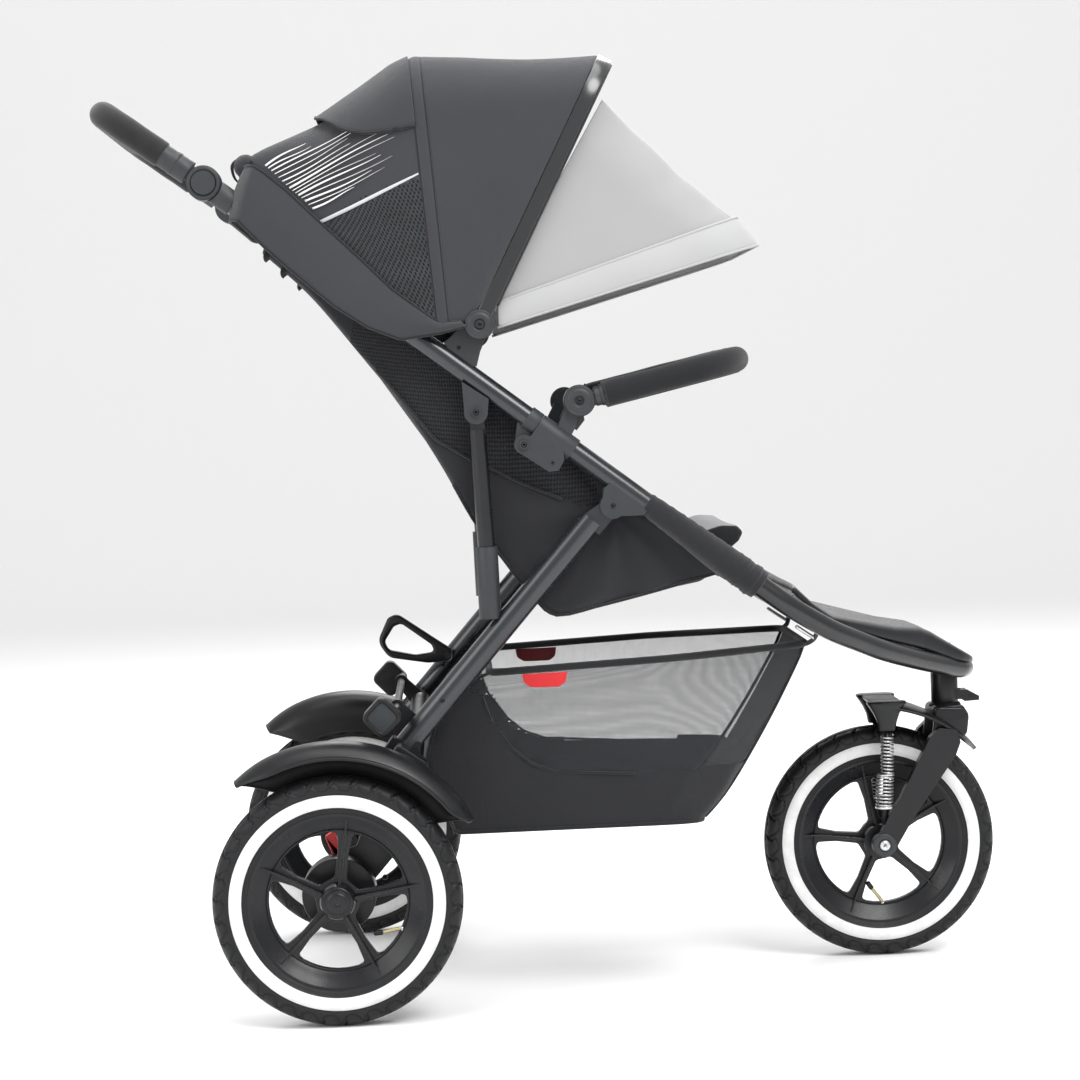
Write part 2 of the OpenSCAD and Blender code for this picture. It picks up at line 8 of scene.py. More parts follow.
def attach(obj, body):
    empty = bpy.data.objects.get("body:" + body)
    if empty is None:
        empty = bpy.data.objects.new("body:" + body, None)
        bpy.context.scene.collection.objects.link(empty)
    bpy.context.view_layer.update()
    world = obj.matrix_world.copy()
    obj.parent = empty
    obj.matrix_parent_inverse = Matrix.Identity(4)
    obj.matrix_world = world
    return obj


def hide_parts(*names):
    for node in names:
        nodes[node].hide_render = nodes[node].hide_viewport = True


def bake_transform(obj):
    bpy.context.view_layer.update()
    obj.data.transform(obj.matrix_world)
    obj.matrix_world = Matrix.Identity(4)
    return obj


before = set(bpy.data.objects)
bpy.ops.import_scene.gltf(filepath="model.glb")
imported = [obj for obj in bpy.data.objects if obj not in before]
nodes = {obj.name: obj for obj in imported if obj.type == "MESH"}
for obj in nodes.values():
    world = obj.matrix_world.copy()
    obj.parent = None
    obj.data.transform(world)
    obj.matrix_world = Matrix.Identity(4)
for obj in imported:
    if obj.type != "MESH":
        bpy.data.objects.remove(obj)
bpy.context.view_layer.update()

REAR_X = -0.288          # the rear axle
HOOD = (194, 832)        # pivots, in mm ahead of the rear axle and above the ground
BUMPER = (312, 736)
HUB = (-132, 1013)
HANDLE_TILT, BUMPER_TILT = 143.7, 12.7      # degrees up from straight ahead
AXLE = (695, 0, 150)     # the front axle; the wheels' axles are 150 mm up
WHEEL_UP = 150
SIDES = ((-1, "right"), (1, "left"))


def pt(x, y, z):
    """A point given in mm ahead of the rear axle, to the left, and up."""
    return Vector((x / 1000 + REAR_X, y / 1000, z / 1000))


def side_h(x):
    """Height of the side tubes' axis."""
    return 1013 - (x + 132) * math.tan(math.radians(37.8))


# ------------------------------------------------------------------ camera, floor and light

def look():
    bpy.context.scene.view_settings.view_transform = "Standard"
    cam = bpy.data.objects.new("camera", bpy.data.cameras.new("camera"))
    bpy.context.scene.collection.objects.link(cam)
    yaw, pitch, roll = math.radians(1.87), math.radians(2.97), -0.0343
    ahead = Vector((math.sin(yaw) * math.cos(pitch), math.cos(yaw) * math.cos(pitch), -math.sin(pitch)))
    right = ahead.cross(Vector((0, 0, 1))).normalized()
    up = right.cross(ahead)
    right, up = (math.cos(roll) * right + math.sin(roll) * up, math.cos(roll) * up - math.sin(roll) * right)
    turn = Matrix((right, up, -ahead)).transposed()
    cam.matrix_world = Matrix.Translation((-0.135, -3.440, 0.736)) @ turn.to_4x4()
    cam.data.sensor_width = 36
    cam.data.lens = 88.6
    cam.data.clip_end = 60
    bpy.context.scene.camera = cam


def area(name, place, aim, size, power):
    light = bpy.data.lights.new(name, "AREA")
    light.shape, light.size, light.energy = "DISK", size, power
    o = bpy.data.objects.new(name, light)
    bpy.context.scene.collection.objects.link(o)
    o.location = place
    o.rotation_mode = "QUATERNION"
    o.rotation_quaternion = (Vector(aim) - Vector(place)).to_track_quat("-Z", "Y")


def stage():
    world = bpy.data.worlds.new("studio")
    bpy.context.scene.world = world
    world.use_nodes = True
    world.node_tree.nodes["Background"].inputs[0].default_value = (1, 1, 1, 1)
    world.node_tree.nodes["Background"].inputs[1].default_value = 0.74
    floor = bpy.data.meshes.new("floor")
    n, half, bend, back = 24, 9, 3.0, 6.0
    profile = [(-9, 0)] + [(back + bend * math.sin(a), bend - bend * math.cos(a))
                           for a in (i / n * math.pi / 2 for i in range(n + 1))] + [(back + bend, 9)]
    verts = [(x, y, z) for y, z in profile for x in (-half, half)]
    floor.from_pydata(verts, [], [(2 * i, 2 * i + 1, 2 * i + 3, 2 * i + 2) for i in range(len(profile) - 1)])
    o = bpy.data.objects.new("floor", floor)
    bpy.context.scene.collection.objects.link(o)
    for p in floor.polygons:
        p.use_smooth = True
    m = bpy.data.materials.new("floor")
    m.use_nodes = True
    m.node_tree.nodes["Principled BSDF"].inputs["Base Color"].default_value = (0.97, 0.97, 0.97, 1)
    m.node_tree.nodes["Principled BSDF"].inputs["Roughness"].default_value = 0.7
    floor.materials.append(m)
    area("key", (1.6, -2.6, 3.6), (0, 0, 0.5), 2.2, 120)
    area("fill", (-3.0, -2.2, 2.0), (0, 0, 0.6), 2.4, 46)
    area("top", (0.0, -0.4, 3.4), (0, 0, 0.4), 2.8, 62)
    area("rim", (0.3, 3.0, 3.2), (0, 0, 0.7), 2.6, 80)


look()
stage()


# ------------------------------------------------------------------ materials

class Nodes:
    """A material being built."""

    def __init__(self, name):
        self.m = bpy.data.materials.new(name)
        self.m.use_nodes = True
        self.t = self.m.node_tree
        self.b = self.t.nodes["Principled BSDF"]

    def add(self, kind, **values):
        n = self.t.nodes.new(kind)
        for k, v in values.items():
            if k in n.inputs:
                n.inputs[k].default_value = v
            else:
                setattr(n, k, v)
        return n

    def link(self, a, b):
        self.t.links.new(a, b)

    def place(self, scale, uv=False, turn=0.0):
        c = self.add("ShaderNodeTexCoord")
        m = self.add("ShaderNodeMapping")
        m.inputs["Scale"].default_value = scale if hasattr(scale, "__len__") else (scale,) * 3
        m.inputs["Rotation"].default_value = (0, 0, turn)
        self.link(c.outputs["UV" if uv else "Object"], m.inputs["Vector"])
        return m.outputs["Vector"]

    def noise(self, scale, detail=4.0, rough=0.55, uv=False):
        n = self.add("ShaderNodeTexNoise", Scale=1.0, Detail=detail, Roughness=rough)
        self.link(self.place(scale, uv), n.inputs["Vector"])
        return n.outputs["Fac"]

    def wave(self, scale, axis="X", uv=True, turn=0.0, shift=0.0):
        w = self.add("ShaderNodeTexWave", Scale=1.0, Distortion=0.0)
        w.bands_direction = axis
        w.inputs["Phase Offset"].default_value = shift
        self.link(self.place(scale, uv, turn), w.inputs["Vector"])
        return w.outputs["Fac"]

    def math(self, op, a, b=None):
        n = self.add("ShaderNodeMath", operation=op)
        for i, v in enumerate((a, b)):
            if v is None:
                continue
            if isinstance(v, (int, float)):
                n.inputs[i].default_value = v
            else:
                self.link(v, n.inputs[i])
        return n.outputs[0]

    def ramp(self, fac, stops):
        r = self.add("ShaderNodeValToRGB")
        while len(r.color_ramp.elements) < len(stops):
            r.color_ramp.elements.new(0.5)
        for e, (p, c) in zip(r.color_ramp.elements, stops):
            e.position = p
            e.color = (*c, 1) if hasattr(c, "__len__") else (c, c, c, 1)
        self.link(fac, r.inputs["Fac"])
        return r.outputs["Color"]

    def bump(self, height, strength, distance, under=None):
        n = self.add("ShaderNodeBump", Strength=strength, Distance=distance)
        self.link(height, n.inputs["Height"])
        if under is not None:
            self.link(under, n.inputs["Normal"])
        return n.outputs["Normal"]

    def finish(self, color=None, rough=None, normal=None, alpha=None, **values):
        for socket, v in (("Base Color", color), ("Roughness", rough), ("Normal", normal), ("Alpha", alpha)):
            if v is not None:
                self.link(v, self.b.inputs[socket])
        for k, v in values.items():
            self.b.inputs[k.replace("_", " ")].default_value = v
        return self.m


def shade(c, f):
    return tuple(min(1, v * f) for v in c)


def paint(name, c, rough=0.3, metal=0.55, coat=0.25):
    """Satin powder paint over metal, with a fine orange peel and worn roughness."""
    n = Nodes(name)
    cloud = n.noise(9, 5)
    return n.finish(
        color=n.ramp(cloud, [(0.3, shade(c, 0.86)), (0.75, shade(c, 1.14))]),
        rough=n.ramp(n.noise(14, 5, 0.6), [(0.3, rough - 0.03), (0.8, rough + 0.05)]),
        normal=n.bump(n.noise(1500, 2), 0.03, 0.0003),
        Metallic=metal, Coat_Weight=coat, Coat_Roughness=0.22)


def plastic(name, c, rough=0.5, grain=900, depth=0.16, spec=0.34):
    """Moulded plastic with a spark-eroded grain and slight scuffing."""
    n = Nodes(name)
    scuff = n.noise(60, 8, 0.7)
    grains = n.noise(grain, 3, 0.6)
    return n.finish(
        color=n.ramp(scuff, [(0.35, shade(c, 0.88)), (0.62, c), (0.82, shade(c, 1.25))]),
        rough=n.ramp(n.noise(24, 6, 0.7), [(0.3, rough - 0.06), (0.75, rough + 0.09)]),
        normal=n.bump(grains, depth, 0.0005),
        Specular_IOR_Level=spec)


def metal(name, c, rough=0.28):
    n = Nodes(name)
    return n.finish(
        color=n.ramp(n.noise(120, 5), [(0.3, shade(c, 0.85)), (0.7, shade(c, 1.1))]),
        rough=n.ramp(n.noise((40, 900, 40), 3), [(0.3, rough), (0.7, rough + 0.15)]),
        normal=n.bump(n.noise((60, 1500, 60), 3), 0.12, 0.0003),
        Metallic=1.0)


def foam(name, c):
    """Closed-cell foam with its open pores."""
    n = Nodes(name)
    cells = n.add("ShaderNodeTexVoronoi", Scale=1.0)
    n.link(n.place(900), cells.inputs["Vector"])
    low = n.bump(n.noise(70, 4), 0.25, 0.0012)
    return n.finish(
        color=n.ramp(n.noise(45, 6, 0.7), [(0.3, shade(c, 0.75)), (0.75, shade(c, 1.35))]),
        rough=n.ramp(cells.outputs["Distance"], [(0.1, 0.95), (0.8, 0.78)]),
        normal=n.bump(cells.outputs["Distance"], 0.3, 0.0006, low),
        Sheen_Weight=0.25, Sheen_Roughness=0.5,
        Specular_IOR_Level=0.3)


def rubber(name, c, rough=0.62):
    n = Nodes(name)
    return n.finish(
        color=n.ramp(n.noise(50, 8, 0.7),
                     [(0.35, shade(c, 0.86)), (0.6, c), (0.85, shade(c, 1.15 if c[0] > 0.5 else 1.7))]),
        rough=n.ramp(n.noise(90, 6, 0.7), [(0.3, rough - 0.08), (0.7, rough + 0.12)]),
        normal=n.bump(n.noise(800, 4), 0.2, 0.0005),
        Specular_IOR_Level=0.3)


def cloth(name, c, pitch=0.0011, depth=0.5, sheen=0.25, light=1.35):
    """Plain weave over the piece's own UV map in metres, with heathered yarns and soft creases."""
    n = Nodes(name)
    k = 2 * math.pi / (20 * pitch) * 3.2
    warp, weft = n.wave(k, "X"), n.wave(k, "Y")
    weave = n.math("MULTIPLY", warp, weft)
    mottle = n.noise((900, 260, 260), 3, 0.6)
    blotch = n.noise(7, 4)
    mix = n.math("ADD", n.math("MULTIPLY", weave, 0.35), n.math("ADD", n.math("MULTIPLY", mottle, 0.4),
                                                                n.math("MULTIPLY", blotch, 0.35)))
    creases = n.bump(n.noise((13, 13, 6), 5, 0.55), 0.55, 0.008)
    return n.finish(
        color=n.ramp(mix, [(0.25, shade(c, 0.78)), (0.55, c), (0.85, shade(c, light))]),
        rough=n.ramp(mottle, [(0.2, 0.78), (0.8, 0.94)]),
        normal=n.bump(weave, depth, 0.0006, creases),
        Sheen_Weight=sheen, Sheen_Roughness=0.45, Specular_IOR_Level=0.3)


def plain_cloth(name, c, light=1.3, sheen=0.2):
    """Brushed cloth for simulated pieces, with no UV map."""
    n = Nodes(name)
    k = 1500
    weave = n.math("MULTIPLY", n.wave(k, "X", uv=False), n.wave(k, "Z", uv=False))
    mottle = n.noise(420, 4, 0.65)
    return n.finish(
        color=n.ramp(n.math("ADD", n.math("MULTIPLY", mottle, 0.6), n.math("MULTIPLY", n.noise(9, 4), 0.4)),
                     [(0.25, shade(c, 0.8)), (0.55, c), (0.85, shade(c, light))]),
        rough=n.ramp(mottle, [(0.2, 0.8), (0.8, 0.95)]),
        normal=n.bump(weave, 0.35, 0.0005, n.bump(n.noise(24, 5), 0.25, 0.003)),
        Sheen_Weight=sheen, Sheen_Roughness=0.5, Specular_IOR_Level=0.3)


def spacer(name, c, gap, pitch=0.006):
    """Thick knitted mesh: dark holes in staggered rows over a lighter knit."""
    n = Nodes(name)
    cells = n.add("ShaderNodeTexVoronoi", Scale=1.0)
    cells.inputs["Randomness"].default_value = 0.12
    n.link(n.place(1 / pitch, uv=True, turn=0.5), cells.inputs["Vector"])
    hole = n.ramp(cells.outputs["Distance"], [(0.24, 0.0), (0.42, 1.0)])
    yarn = n.noise(700, 3)
    pucker = n.noise((16, 16, 30), 4, 0.6)
    tone = n.math("MULTIPLY", hole, n.math("ADD", n.math("MULTIPLY", yarn, 0.4), n.math("MULTIPLY", pucker, 0.75)))
    return n.finish(
        color=n.ramp(tone, [(0.0, gap), (0.35, shade(c, 0.8)), (0.8, shade(c, 1.6))]),
        rough=n.ramp(yarn, [(0.3, 0.7), (0.7, 0.9)]),
        normal=n.bump(tone, 0.9, 0.0014), Specular_IOR_Level=0.3)


def net(name, c, cover=0.48, pitch=0.0034):
    """See-through net of vertical threads joined by fine cross threads."""
    n = Nodes(name)
    k = math.pi / (10 * pitch) * 2
    up = n.wave(k, "X")
    over = n.wave(k * 0.6, "Y")
    streak = n.noise((420, 420, 30), 3, 0.6)
    thread = n.math("ADD", n.ramp(up, [(0.25, cover - 0.19), (0.75, cover + 0.05)]),
                    n.math("ADD", n.math("MULTIPLY", over, 0.05), n.math("MULTIPLY", streak, 0.12)))
    return n.finish(
        color=n.ramp(n.noise(300, 3), [(0.3, shade(c, 0.8)), (0.8, shade(c, 1.3))]),
        alpha=thread, normal=n.bump(up, 0.4, 0.0008), Roughness=0.75)


def sheer(name, c, alpha=0.82):
    """Thin pale cloth that lets some light through."""
    n = Nodes(name)
    k = 1500
    weave = n.math("MULTIPLY", n.wave(k, "X"), n.wave(k, "Y"))
    return n.finish(
        color=n.ramp(n.math("ADD", n.math("MULTIPLY", weave, 0.4), n.math("MULTIPLY", n.noise(6, 3), 0.6)),
                     [(0.2, shade(c, 0.93)), (0.8, shade(c, 1.05))]),
        normal=n.bump(weave, 0.2, 0.0004, n.bump(n.noise((5, 5, 2), 3), 0.2, 0.006)),
        Roughness=0.8, Alpha=alpha, Sheen_Weight=0.15)


MAT = {
    "frame_paint": paint("frame_paint", (0.022, 0.024, 0.028), 0.27, metal=0.5, coat=0.6),
    "hoop_paint": paint("hoop_paint", (0.0065, 0.007, 0.0085), 0.28, metal=0.2, coat=0.4),
    "casting": plastic("casting", (0.031, 0.034, 0.037), 0.46),
    "black_plastic": plastic("black_plastic", (0.0075, 0.0078, 0.009), 0.33),
    "dark_plastic": plastic("dark_plastic", (0.008, 0.008, 0.009), 0.5),
    "footplate": plastic("footplate", (0.010, 0.0105, 0.012), 0.32, grain=500, depth=0.3),
    "pad_plastic": plastic("pad_plastic", (0.03, 0.034, 0.037), 0.45),
    "foam": foam("foam", (0.0105, 0.0105, 0.0115)),
    "cover": plain_cloth("cover", (0.0085, 0.009, 0.0105)),
    "fabric": cloth("fabric", (0.040, 0.041, 0.046)),
    "fabric_dark": cloth("fabric_dark", (0.0165, 0.017, 0.020)),
    "binding": cloth("binding", (0.012, 0.0125, 0.014), light=1.5),
    "pad_fabric": plain_cloth("pad_fabric", (0.02, 0.021, 0.024)),
    "grey_fabric": plain_cloth("grey_fabric", (0.3, 0.3, 0.31)),
    "spacer": spacer("spacer", (0.026, 0.029, 0.031), (0.004, 0.004, 0.005), 0.0044),
    "spacer_dark": spacer("spacer_dark", (0.014, 0.0145, 0.017), (0.002, 0.002, 0.002), 0.0044),
    "net": net("net", (0.035, 0.037, 0.042), 0.31),
    "visor": sheer("visor", (0.37, 0.37, 0.37)),
    "visor_band": sheer("visor_band", (0.41, 0.41, 0.415), 0.94),
    "piping": cloth("piping", (0.62, 0.62, 0.64), light=1.1),
    "print": plain_cloth("print", (0.78, 0.76, 0.76), 1.1),
    "webbing": cloth("webbing", (0.012, 0.012, 0.013), 0.0016, 0.8),
    "tyre": rubber("tyre", (0.0095, 0.0098, 0.011), 0.5),
    "tyre_band": rubber("tyre_band", (0.74, 0.74, 0.735), 0.5),
    "rim": plastic("rim", (0.007, 0.0073, 0.0088), 0.29),
    "steel": metal("steel", (0.62, 0.62, 0.64)),
    "brass": metal("brass", (0.5, 0.42, 0.24)),
    "coil": metal("coil", (0.5, 0.5, 0.5), 0.3),
    "screw": metal("screw", (0.04, 0.04, 0.042), 0.3),
    "red": plastic("red", (0.62, 0.035, 0.03), 0.35),
    "red_cloth": cloth("red_cloth", (0.62, 0.03, 0.035), light=1.2),
    "bow": paint("bow", (0.012, 0.0125, 0.014), 0.24, metal=0.1, coat=0.7),
}


def paint_node(name, material, bevel=0.0):
    """Gives a CAD node its material, and rounds its sharp edges."""
    o = nodes[name]
    o.data.materials.clear()
    o.data.materials.append(MAT[material])
    if bevel:
        w = o.modifiers.new("merge", "WELD")
        w.merge_threshold = 0.00001
        b = o.modifiers.new("edges", "BEVEL")
        b.width, b.segments, b.limit_method, b.angle_limit = bevel / 1000, 2, "ANGLE", math.radians(35)
        b.harden_normals = False
        b.use_clamp_overlap = True


# ------------------------------------------------------------------ mesh helpers

def add_object(name, data):
    o = bpy.data.objects.new(name, data)
    bpy.context.scene.collection.objects.link(o)
    return o


def evaluated_mesh(o):
    """A new mesh with the object's modifiers applied."""
    return bpy.data.meshes.new_from_object(o.evaluated_get(bpy.context.evaluated_depsgraph_get()))


def subdivide(o, levels=1):
    m = o.modifiers.new("smooth", "SUBSURF")
    m.levels = m.render_levels = levels


def close_ends(o, recalc=True):
    """Fills the open ends of a tube of rows."""
    bm = bmesh.new()
    bm.from_mesh(o.data)
    bmesh.ops.holes_fill(bm, edges=[e for e in bm.edges if e.is_boundary], sides=0)
    if recalc:
        bmesh.ops.recalc_face_normals(bm, faces=bm.faces)
    bm.to_mesh(o.data)
    bm.free()


def grid(rows):
    return np.array([[tuple(q) for q in row] for row in rows])


def side_view(p):
    """(x, z) in mm of a point in metres."""
    return (p[0] - REAR_X) * 1000, p[2] * 1000


def along(centre, degrees, reach, side):
    """The point at a reach from a pivot, at an angle up from level, on one side."""
    a = math.radians(degrees)
    return pt(centre[0] + reach * math.cos(a), side, centre[1] + reach * math.sin(a))


def put(name, verts, faces, materials, uvs=None, face_mat=None, smooth=True):
    me = bpy.data.meshes.new(name)
    me.from_pydata([tuple(v) for v in verts], [], faces)
    me.validate()
    if uvs is not None:
        layer = me.uv_layers.new(name="UVMap")
        co = np.array([uvs[l.vertex_index] for l in me.loops], np.float32)
        layer.data.foreach_set("uv", co.ravel())
    for m in materials:
        me.materials.append(MAT[m])
    if face_mat is not None:
        me.polygons.foreach_set("material_index", np.array(face_mat, np.int32))
    me.polygons.foreach_set("use_smooth", np.full(len(me.polygons), smooth))
    me.update()
    return add_object(name, me)


def ride(o, body, *replaced, slot=None):
    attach(o, body)
    if replaced:
        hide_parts(*replaced)
    return o


def grid_uv(g):
    """Arc lengths along both ways of a grid of points, averaged, in metres."""
    g = np.asarray(g, float)
    du = np.linalg.norm(np.diff(g, axis=0), axis=2).mean(1)
    dv = np.linalg.norm(np.diff(g, axis=1), axis=2).mean(0)
    u = np.concatenate([[0], np.cumsum(du)])
    v = np.concatenate([[0], np.cumsum(dv)])
    return np.stack(np.meshgrid(u, v, indexing="ij"), -1)


def sheet(name, g, materials, pick=None, thick=0.0, sub=0, close=False, offset=0.0):
    """A surface over a grid of points, with its own UV map in metres; pick says each face's material."""
    g = np.asarray(g, float)
    n, m = g.shape[:2]
    uv = grid_uv(g)
    faces, mats = [], []
    for i in range(n - 1):
        for j in range(m if close else m - 1):
            k = (j + 1) % m
            faces.append((i * m + j, i * m + k, (i + 1) * m + k, (i + 1) * m + j))
            if pick:
                mats.append(pick(i / (n - 1), j / (m - 1), (g[i, j] + g[i + 1, k]) / 2))
    o = put(name, g.reshape(-1, 3), faces, materials, uv.reshape(-1, 2), mats if pick else None)
    if thick:
        s = o.modifiers.new("thickness", "SOLIDIFY")
        s.thickness, s.offset, s.use_even_offset = thick / 1000, offset, True
    if sub:
        subdivide(o, sub)
    return o


def spline(points, n, closed=False):
    """n points on a smooth curve through the given ones, evenly spaced."""
    p = np.asarray([tuple(q) for q in points], float)
    k = len(p)
    out = []
    for i in range(k if closed else k - 1):
        a, b, c, d = (p[(i + j) % k] if closed else p[min(max(i + j, 0), k - 1)] for j in (-1, 0, 1, 2))
        for t in np.linspace(0, 1, 16, endpoint=False):
            out.append(0.5 * (2 * b + (c - a) * t + (2 * a - 5 * b + 4 * c - d) * t * t
                              + (3 * b - a - 3 * c + d) * t ** 3))
    out.append(p[0] if closed else p[-1])
    return even(out, n)


def even(points, n):
    p = np.asarray([tuple(q) for q in points], float)
    s = np.concatenate([[0], np.cumsum(np.linalg.norm(np.diff(p, axis=0), axis=1))])
    t = np.linspace(0, s[-1], n)
    return np.stack([np.interp(t, s, p[:, i]) for i in range(p.shape[1])], 1)


def fillet(points, radius, n=8, closed=True):
    """A polygon with its corners rounded; radius is one number or one for each corner."""
    p = [np.asarray(tuple(q), float) for q in points]
    k = len(p)
    out = []
    for i in range(k):
        r = radius[i] if hasattr(radius, "__len__") else radius
        if (not closed and i in (0, k - 1)) or r <= 0:
            out.append(p[i])
            continue
        a, b, c = p[i - 1], p[i], p[(i + 1) % k]
        u, w = a - b, c - b
        lu, lw = np.linalg.norm(u), np.linalg.norm(w)
        u, w = u / lu, w / lw
        half = math.acos(max(-1, min(1, float(u @ w)))) / 2
        if half > math.pi / 2 - 0.01:
            out.append(b)
            continue
        d = min(r / math.tan(half), lu * 0.48, lw * 0.48)
        s, e = b + u * d, b + w * d
        mid = (u + w) / np.linalg.norm(u + w)
        centre = b + mid * d / math.cos(half)
        rr = d * math.tan(half)
        a0, a1 = (s - centre) / rr, (e - centre) / rr
        ang = math.acos(max(-1, min(1, float(a0 @ a1))))
        for t in np.linspace(0, 1, n + 1):
            out.append(centre + rr * (math.sin((1 - t) * ang) * a0 + math.sin(t * ang) * a1) / math.sin(ang))
    return np.array(out)


def tube(name, path, radius, materials, segs=28, closed=False, caps=True, squash=None, up=None, soft_ends=0.0):
    """A round bar along a path in metres. radius is in mm, or a list of them."""
    p = np.asarray([tuple(q) for q in path], float)
    n = len(p)
    r = np.full(n, float(radius)) if not hasattr(radius, "__len__") else np.asarray(radius, float)
    if soft_ends and not closed:
        s = np.concatenate([[0], np.cumsum(np.linalg.norm(np.diff(p, axis=0), axis=1))])
        e = soft_ends / 1000
        extra = np.array([0.0, 0.04, 0.15, 0.35, 0.65, 1.0]) * e
        t = np.unique(np.concatenate([extra, s[(s > e) & (s < s[-1] - e)], s[-1] - extra]))
        q = np.stack([np.interp(t, s, p[:, i]) for i in range(3)], 1)
        rr = np.interp(t, s, r)
        near = np.minimum(t, s[-1] - t) / e
        rr = rr - soft_ends * (1 - np.sqrt(np.clip(1 - (1 - np.clip(near, 0, 1)) ** 2, 0, 1)))
        p, r, n = q, np.maximum(rr, 0.5), len(q)
    tan = np.gradient(p, axis=0) if not closed else np.roll(p, -1, 0) - np.roll(p, 1, 0)
    tan /= np.linalg.norm(tan, axis=1)[:, None]
    side = np.array(up if up is not None else (0, 0, 1), float)
    if abs(side @ tan[0]) > 0.95:
        side = np.array((1.0, 0.2, 0))
    verts, uvs = [], []
    length = 0.0
    for i in range(n):
        side = side - (side @ tan[i]) * tan[i]
        side /= np.linalg.norm(side)
        other = np.cross(tan[i], side)
        if i:
            length += np.linalg.norm(p[i] - p[i - 1])
        for j in range(segs):
            a = 2 * math.pi * j / segs
            flat = squash or (1.0, 1.0)
            verts.append(p[i] + r[i] / 1000 * (math.cos(a) * flat[0] * side + math.sin(a) * flat[1] * other))
            uvs.append((length, r[i] / 1000 * a))
    faces = [(i * segs + j, i * segs + (j + 1) % segs, ((i + 1) % n) * segs + (j + 1) % segs, ((i + 1) % n) * segs + j)
             for i in range(n if closed else n - 1) for j in range(segs)]
    if caps and not closed:
        faces += [tuple(range(segs))[::-1], tuple((n - 1) * segs + j for j in range(segs))]
    return put(name, verts, faces, materials, uvs)


def lathe(name, profile, centre, materials, segs=96, close=True, pick=None, wobble=None):
    """Turns a profile of (radius, y) in mm round an axis along Y through centre, in mm."""
    k = len(profile)
    cx, cy, cz = centre
    verts, uvs = [], []
    for i in range(segs):
        a = 2 * math.pi * i / segs
        for j, (r, y) in enumerate(profile):
            rr, yy = wobble(a, j, r, y) if wobble else (r, y)
            verts.append(pt(cx + rr * math.cos(a), cy + yy, cz + rr * math.sin(a)))
            uvs.append((a * 0.15, j * 0.004))
    faces, mats = [], []
    for i in range(segs):
        for j in range(k if close else k - 1):
            a, b = i * k, ((i + 1) % segs) * k
            faces.append((a + j, a + (j + 1) % k, b + (j + 1) % k, b + j))
            if pick:
                mats.append(pick(j))
    return put(name, verts, faces, materials, uvs, mats if pick else None)


def cut_plate(name, loops, y0, y1, materials, bevel=1.0, steps=3):
    """A flat plate in the side view from loops of (x, z) in mm, the later ones its holes, with rounded edges."""
    cu = bpy.data.curves.new(name, "CURVE")
    cu.dimensions, cu.fill_mode = "2D", "BOTH"
    cu.extrude = max((y1 - y0) / 2 - bevel, 0.01) / 1000
    cu.bevel_depth, cu.bevel_resolution, cu.offset = bevel / 1000, steps, -bevel / 1000
    for loop in loops:
        s = cu.splines.new("POLY")
        s.points.add(len(loop) - 1)
        for q, (x, z) in zip(s.points, loop):
            q.co = (x / 1000 + REAR_X, z / 1000, 0, 1)
        s.use_cyclic_u = True
    o = add_object(name, cu)
    me = evaluated_mesh(o)
    bpy.data.objects.remove(o)
    bpy.data.curves.remove(cu)
    me.transform(Matrix.Translation((0, (y0 + y1) / 2000, 0)) @ Matrix.Rotation(math.pi / 2, 4, "X"))
    me.materials.clear()
    for m in materials:
        me.materials.append(MAT[m])
    bm = bmesh.new()
    bm.from_mesh(me)
    bmesh.ops.remove_doubles(bm, verts=bm.verts, dist=1e-6)
    bmesh.ops.recalc_face_normals(bm, faces=bm.faces)
    bm.to_mesh(me)
    bm.free()
    me.name = name
    for p in me.polygons:
        p.use_smooth = len(p.vertices) <= 4
    return add_object(name, me)


def join(name, objects):
    """Makes one piece of several, applying their modifiers."""
    materials = []
    verts, faces, mats, uvs, smooth = [], [], [], [], []
    for o in objects:
        bpy.context.view_layer.update()
        me = evaluated_mesh(o)
        me.transform(o.matrix_world)
        base = len(verts)
        verts += [tuple(v.co) for v in me.vertices]
        slots = []
        for m in me.materials:
            if m not in materials:
                materials.append(m)
            slots.append(materials.index(m))
        layer = me.uv_layers[0] if me.uv_layers else None
        for p in me.polygons:
            faces.append(tuple(base + v for v in p.vertices))
            mats.append(slots[p.material_index] if slots else 0)
            smooth.append(p.use_smooth)
            uvs += [tuple(layer.data[l].uv) for l in p.loop_indices] if layer else [(0, 0)] * len(p.vertices)
        bpy.data.meshes.remove(me)
        bpy.data.objects.remove(o)
    me = bpy.data.meshes.new(name)
    me.from_pydata(verts, [], faces)
    layer = me.uv_layers.new(name="UVMap")
    layer.data.foreach_set("uv", np.array(uvs, np.float32).ravel())
    for m in materials:
        me.materials.append(m)
    me.polygons.foreach_set("material_index", np.array(mats, np.int32))
    me.polygons.foreach_set("use_smooth", np.array(smooth))
    me.update()
    return add_object(name, me)


# ------------------------------------------------------------------ wheels

TYRE = [(104, 15.5), (107, 18.5), (110.5, 20.4), (113.6, 21.4), (114, 22.2), (121.5, 23.4), (129, 23.3), (129.4, 22.6),
        (131, 23.2), (134, 24.4), (138, 24.6), (141.5, 23.4), (144.6, 20.8), (147, 17), (148.6, 12), (149.6, 6.5),
        (150, 0)]


def tyre_section():
    """(radius, y) of the tyre's section, finer over the tread, and each point's way along it from the crown."""
    side = TYRE[:8]
    crown = even([(r, y) for r, y in TYRE[7:]], 25)
    half = [tuple(q) for q in side] + [tuple(q) for q in crown[1:]]
    full = half + [(r, -y) for r, y in half[-2::-1]]
    p = np.array(full)
    s = np.concatenate([[0], np.cumsum(np.linalg.norm(np.diff(p, axis=0), axis=1))])
    return full, s - s[len(half) - 1]


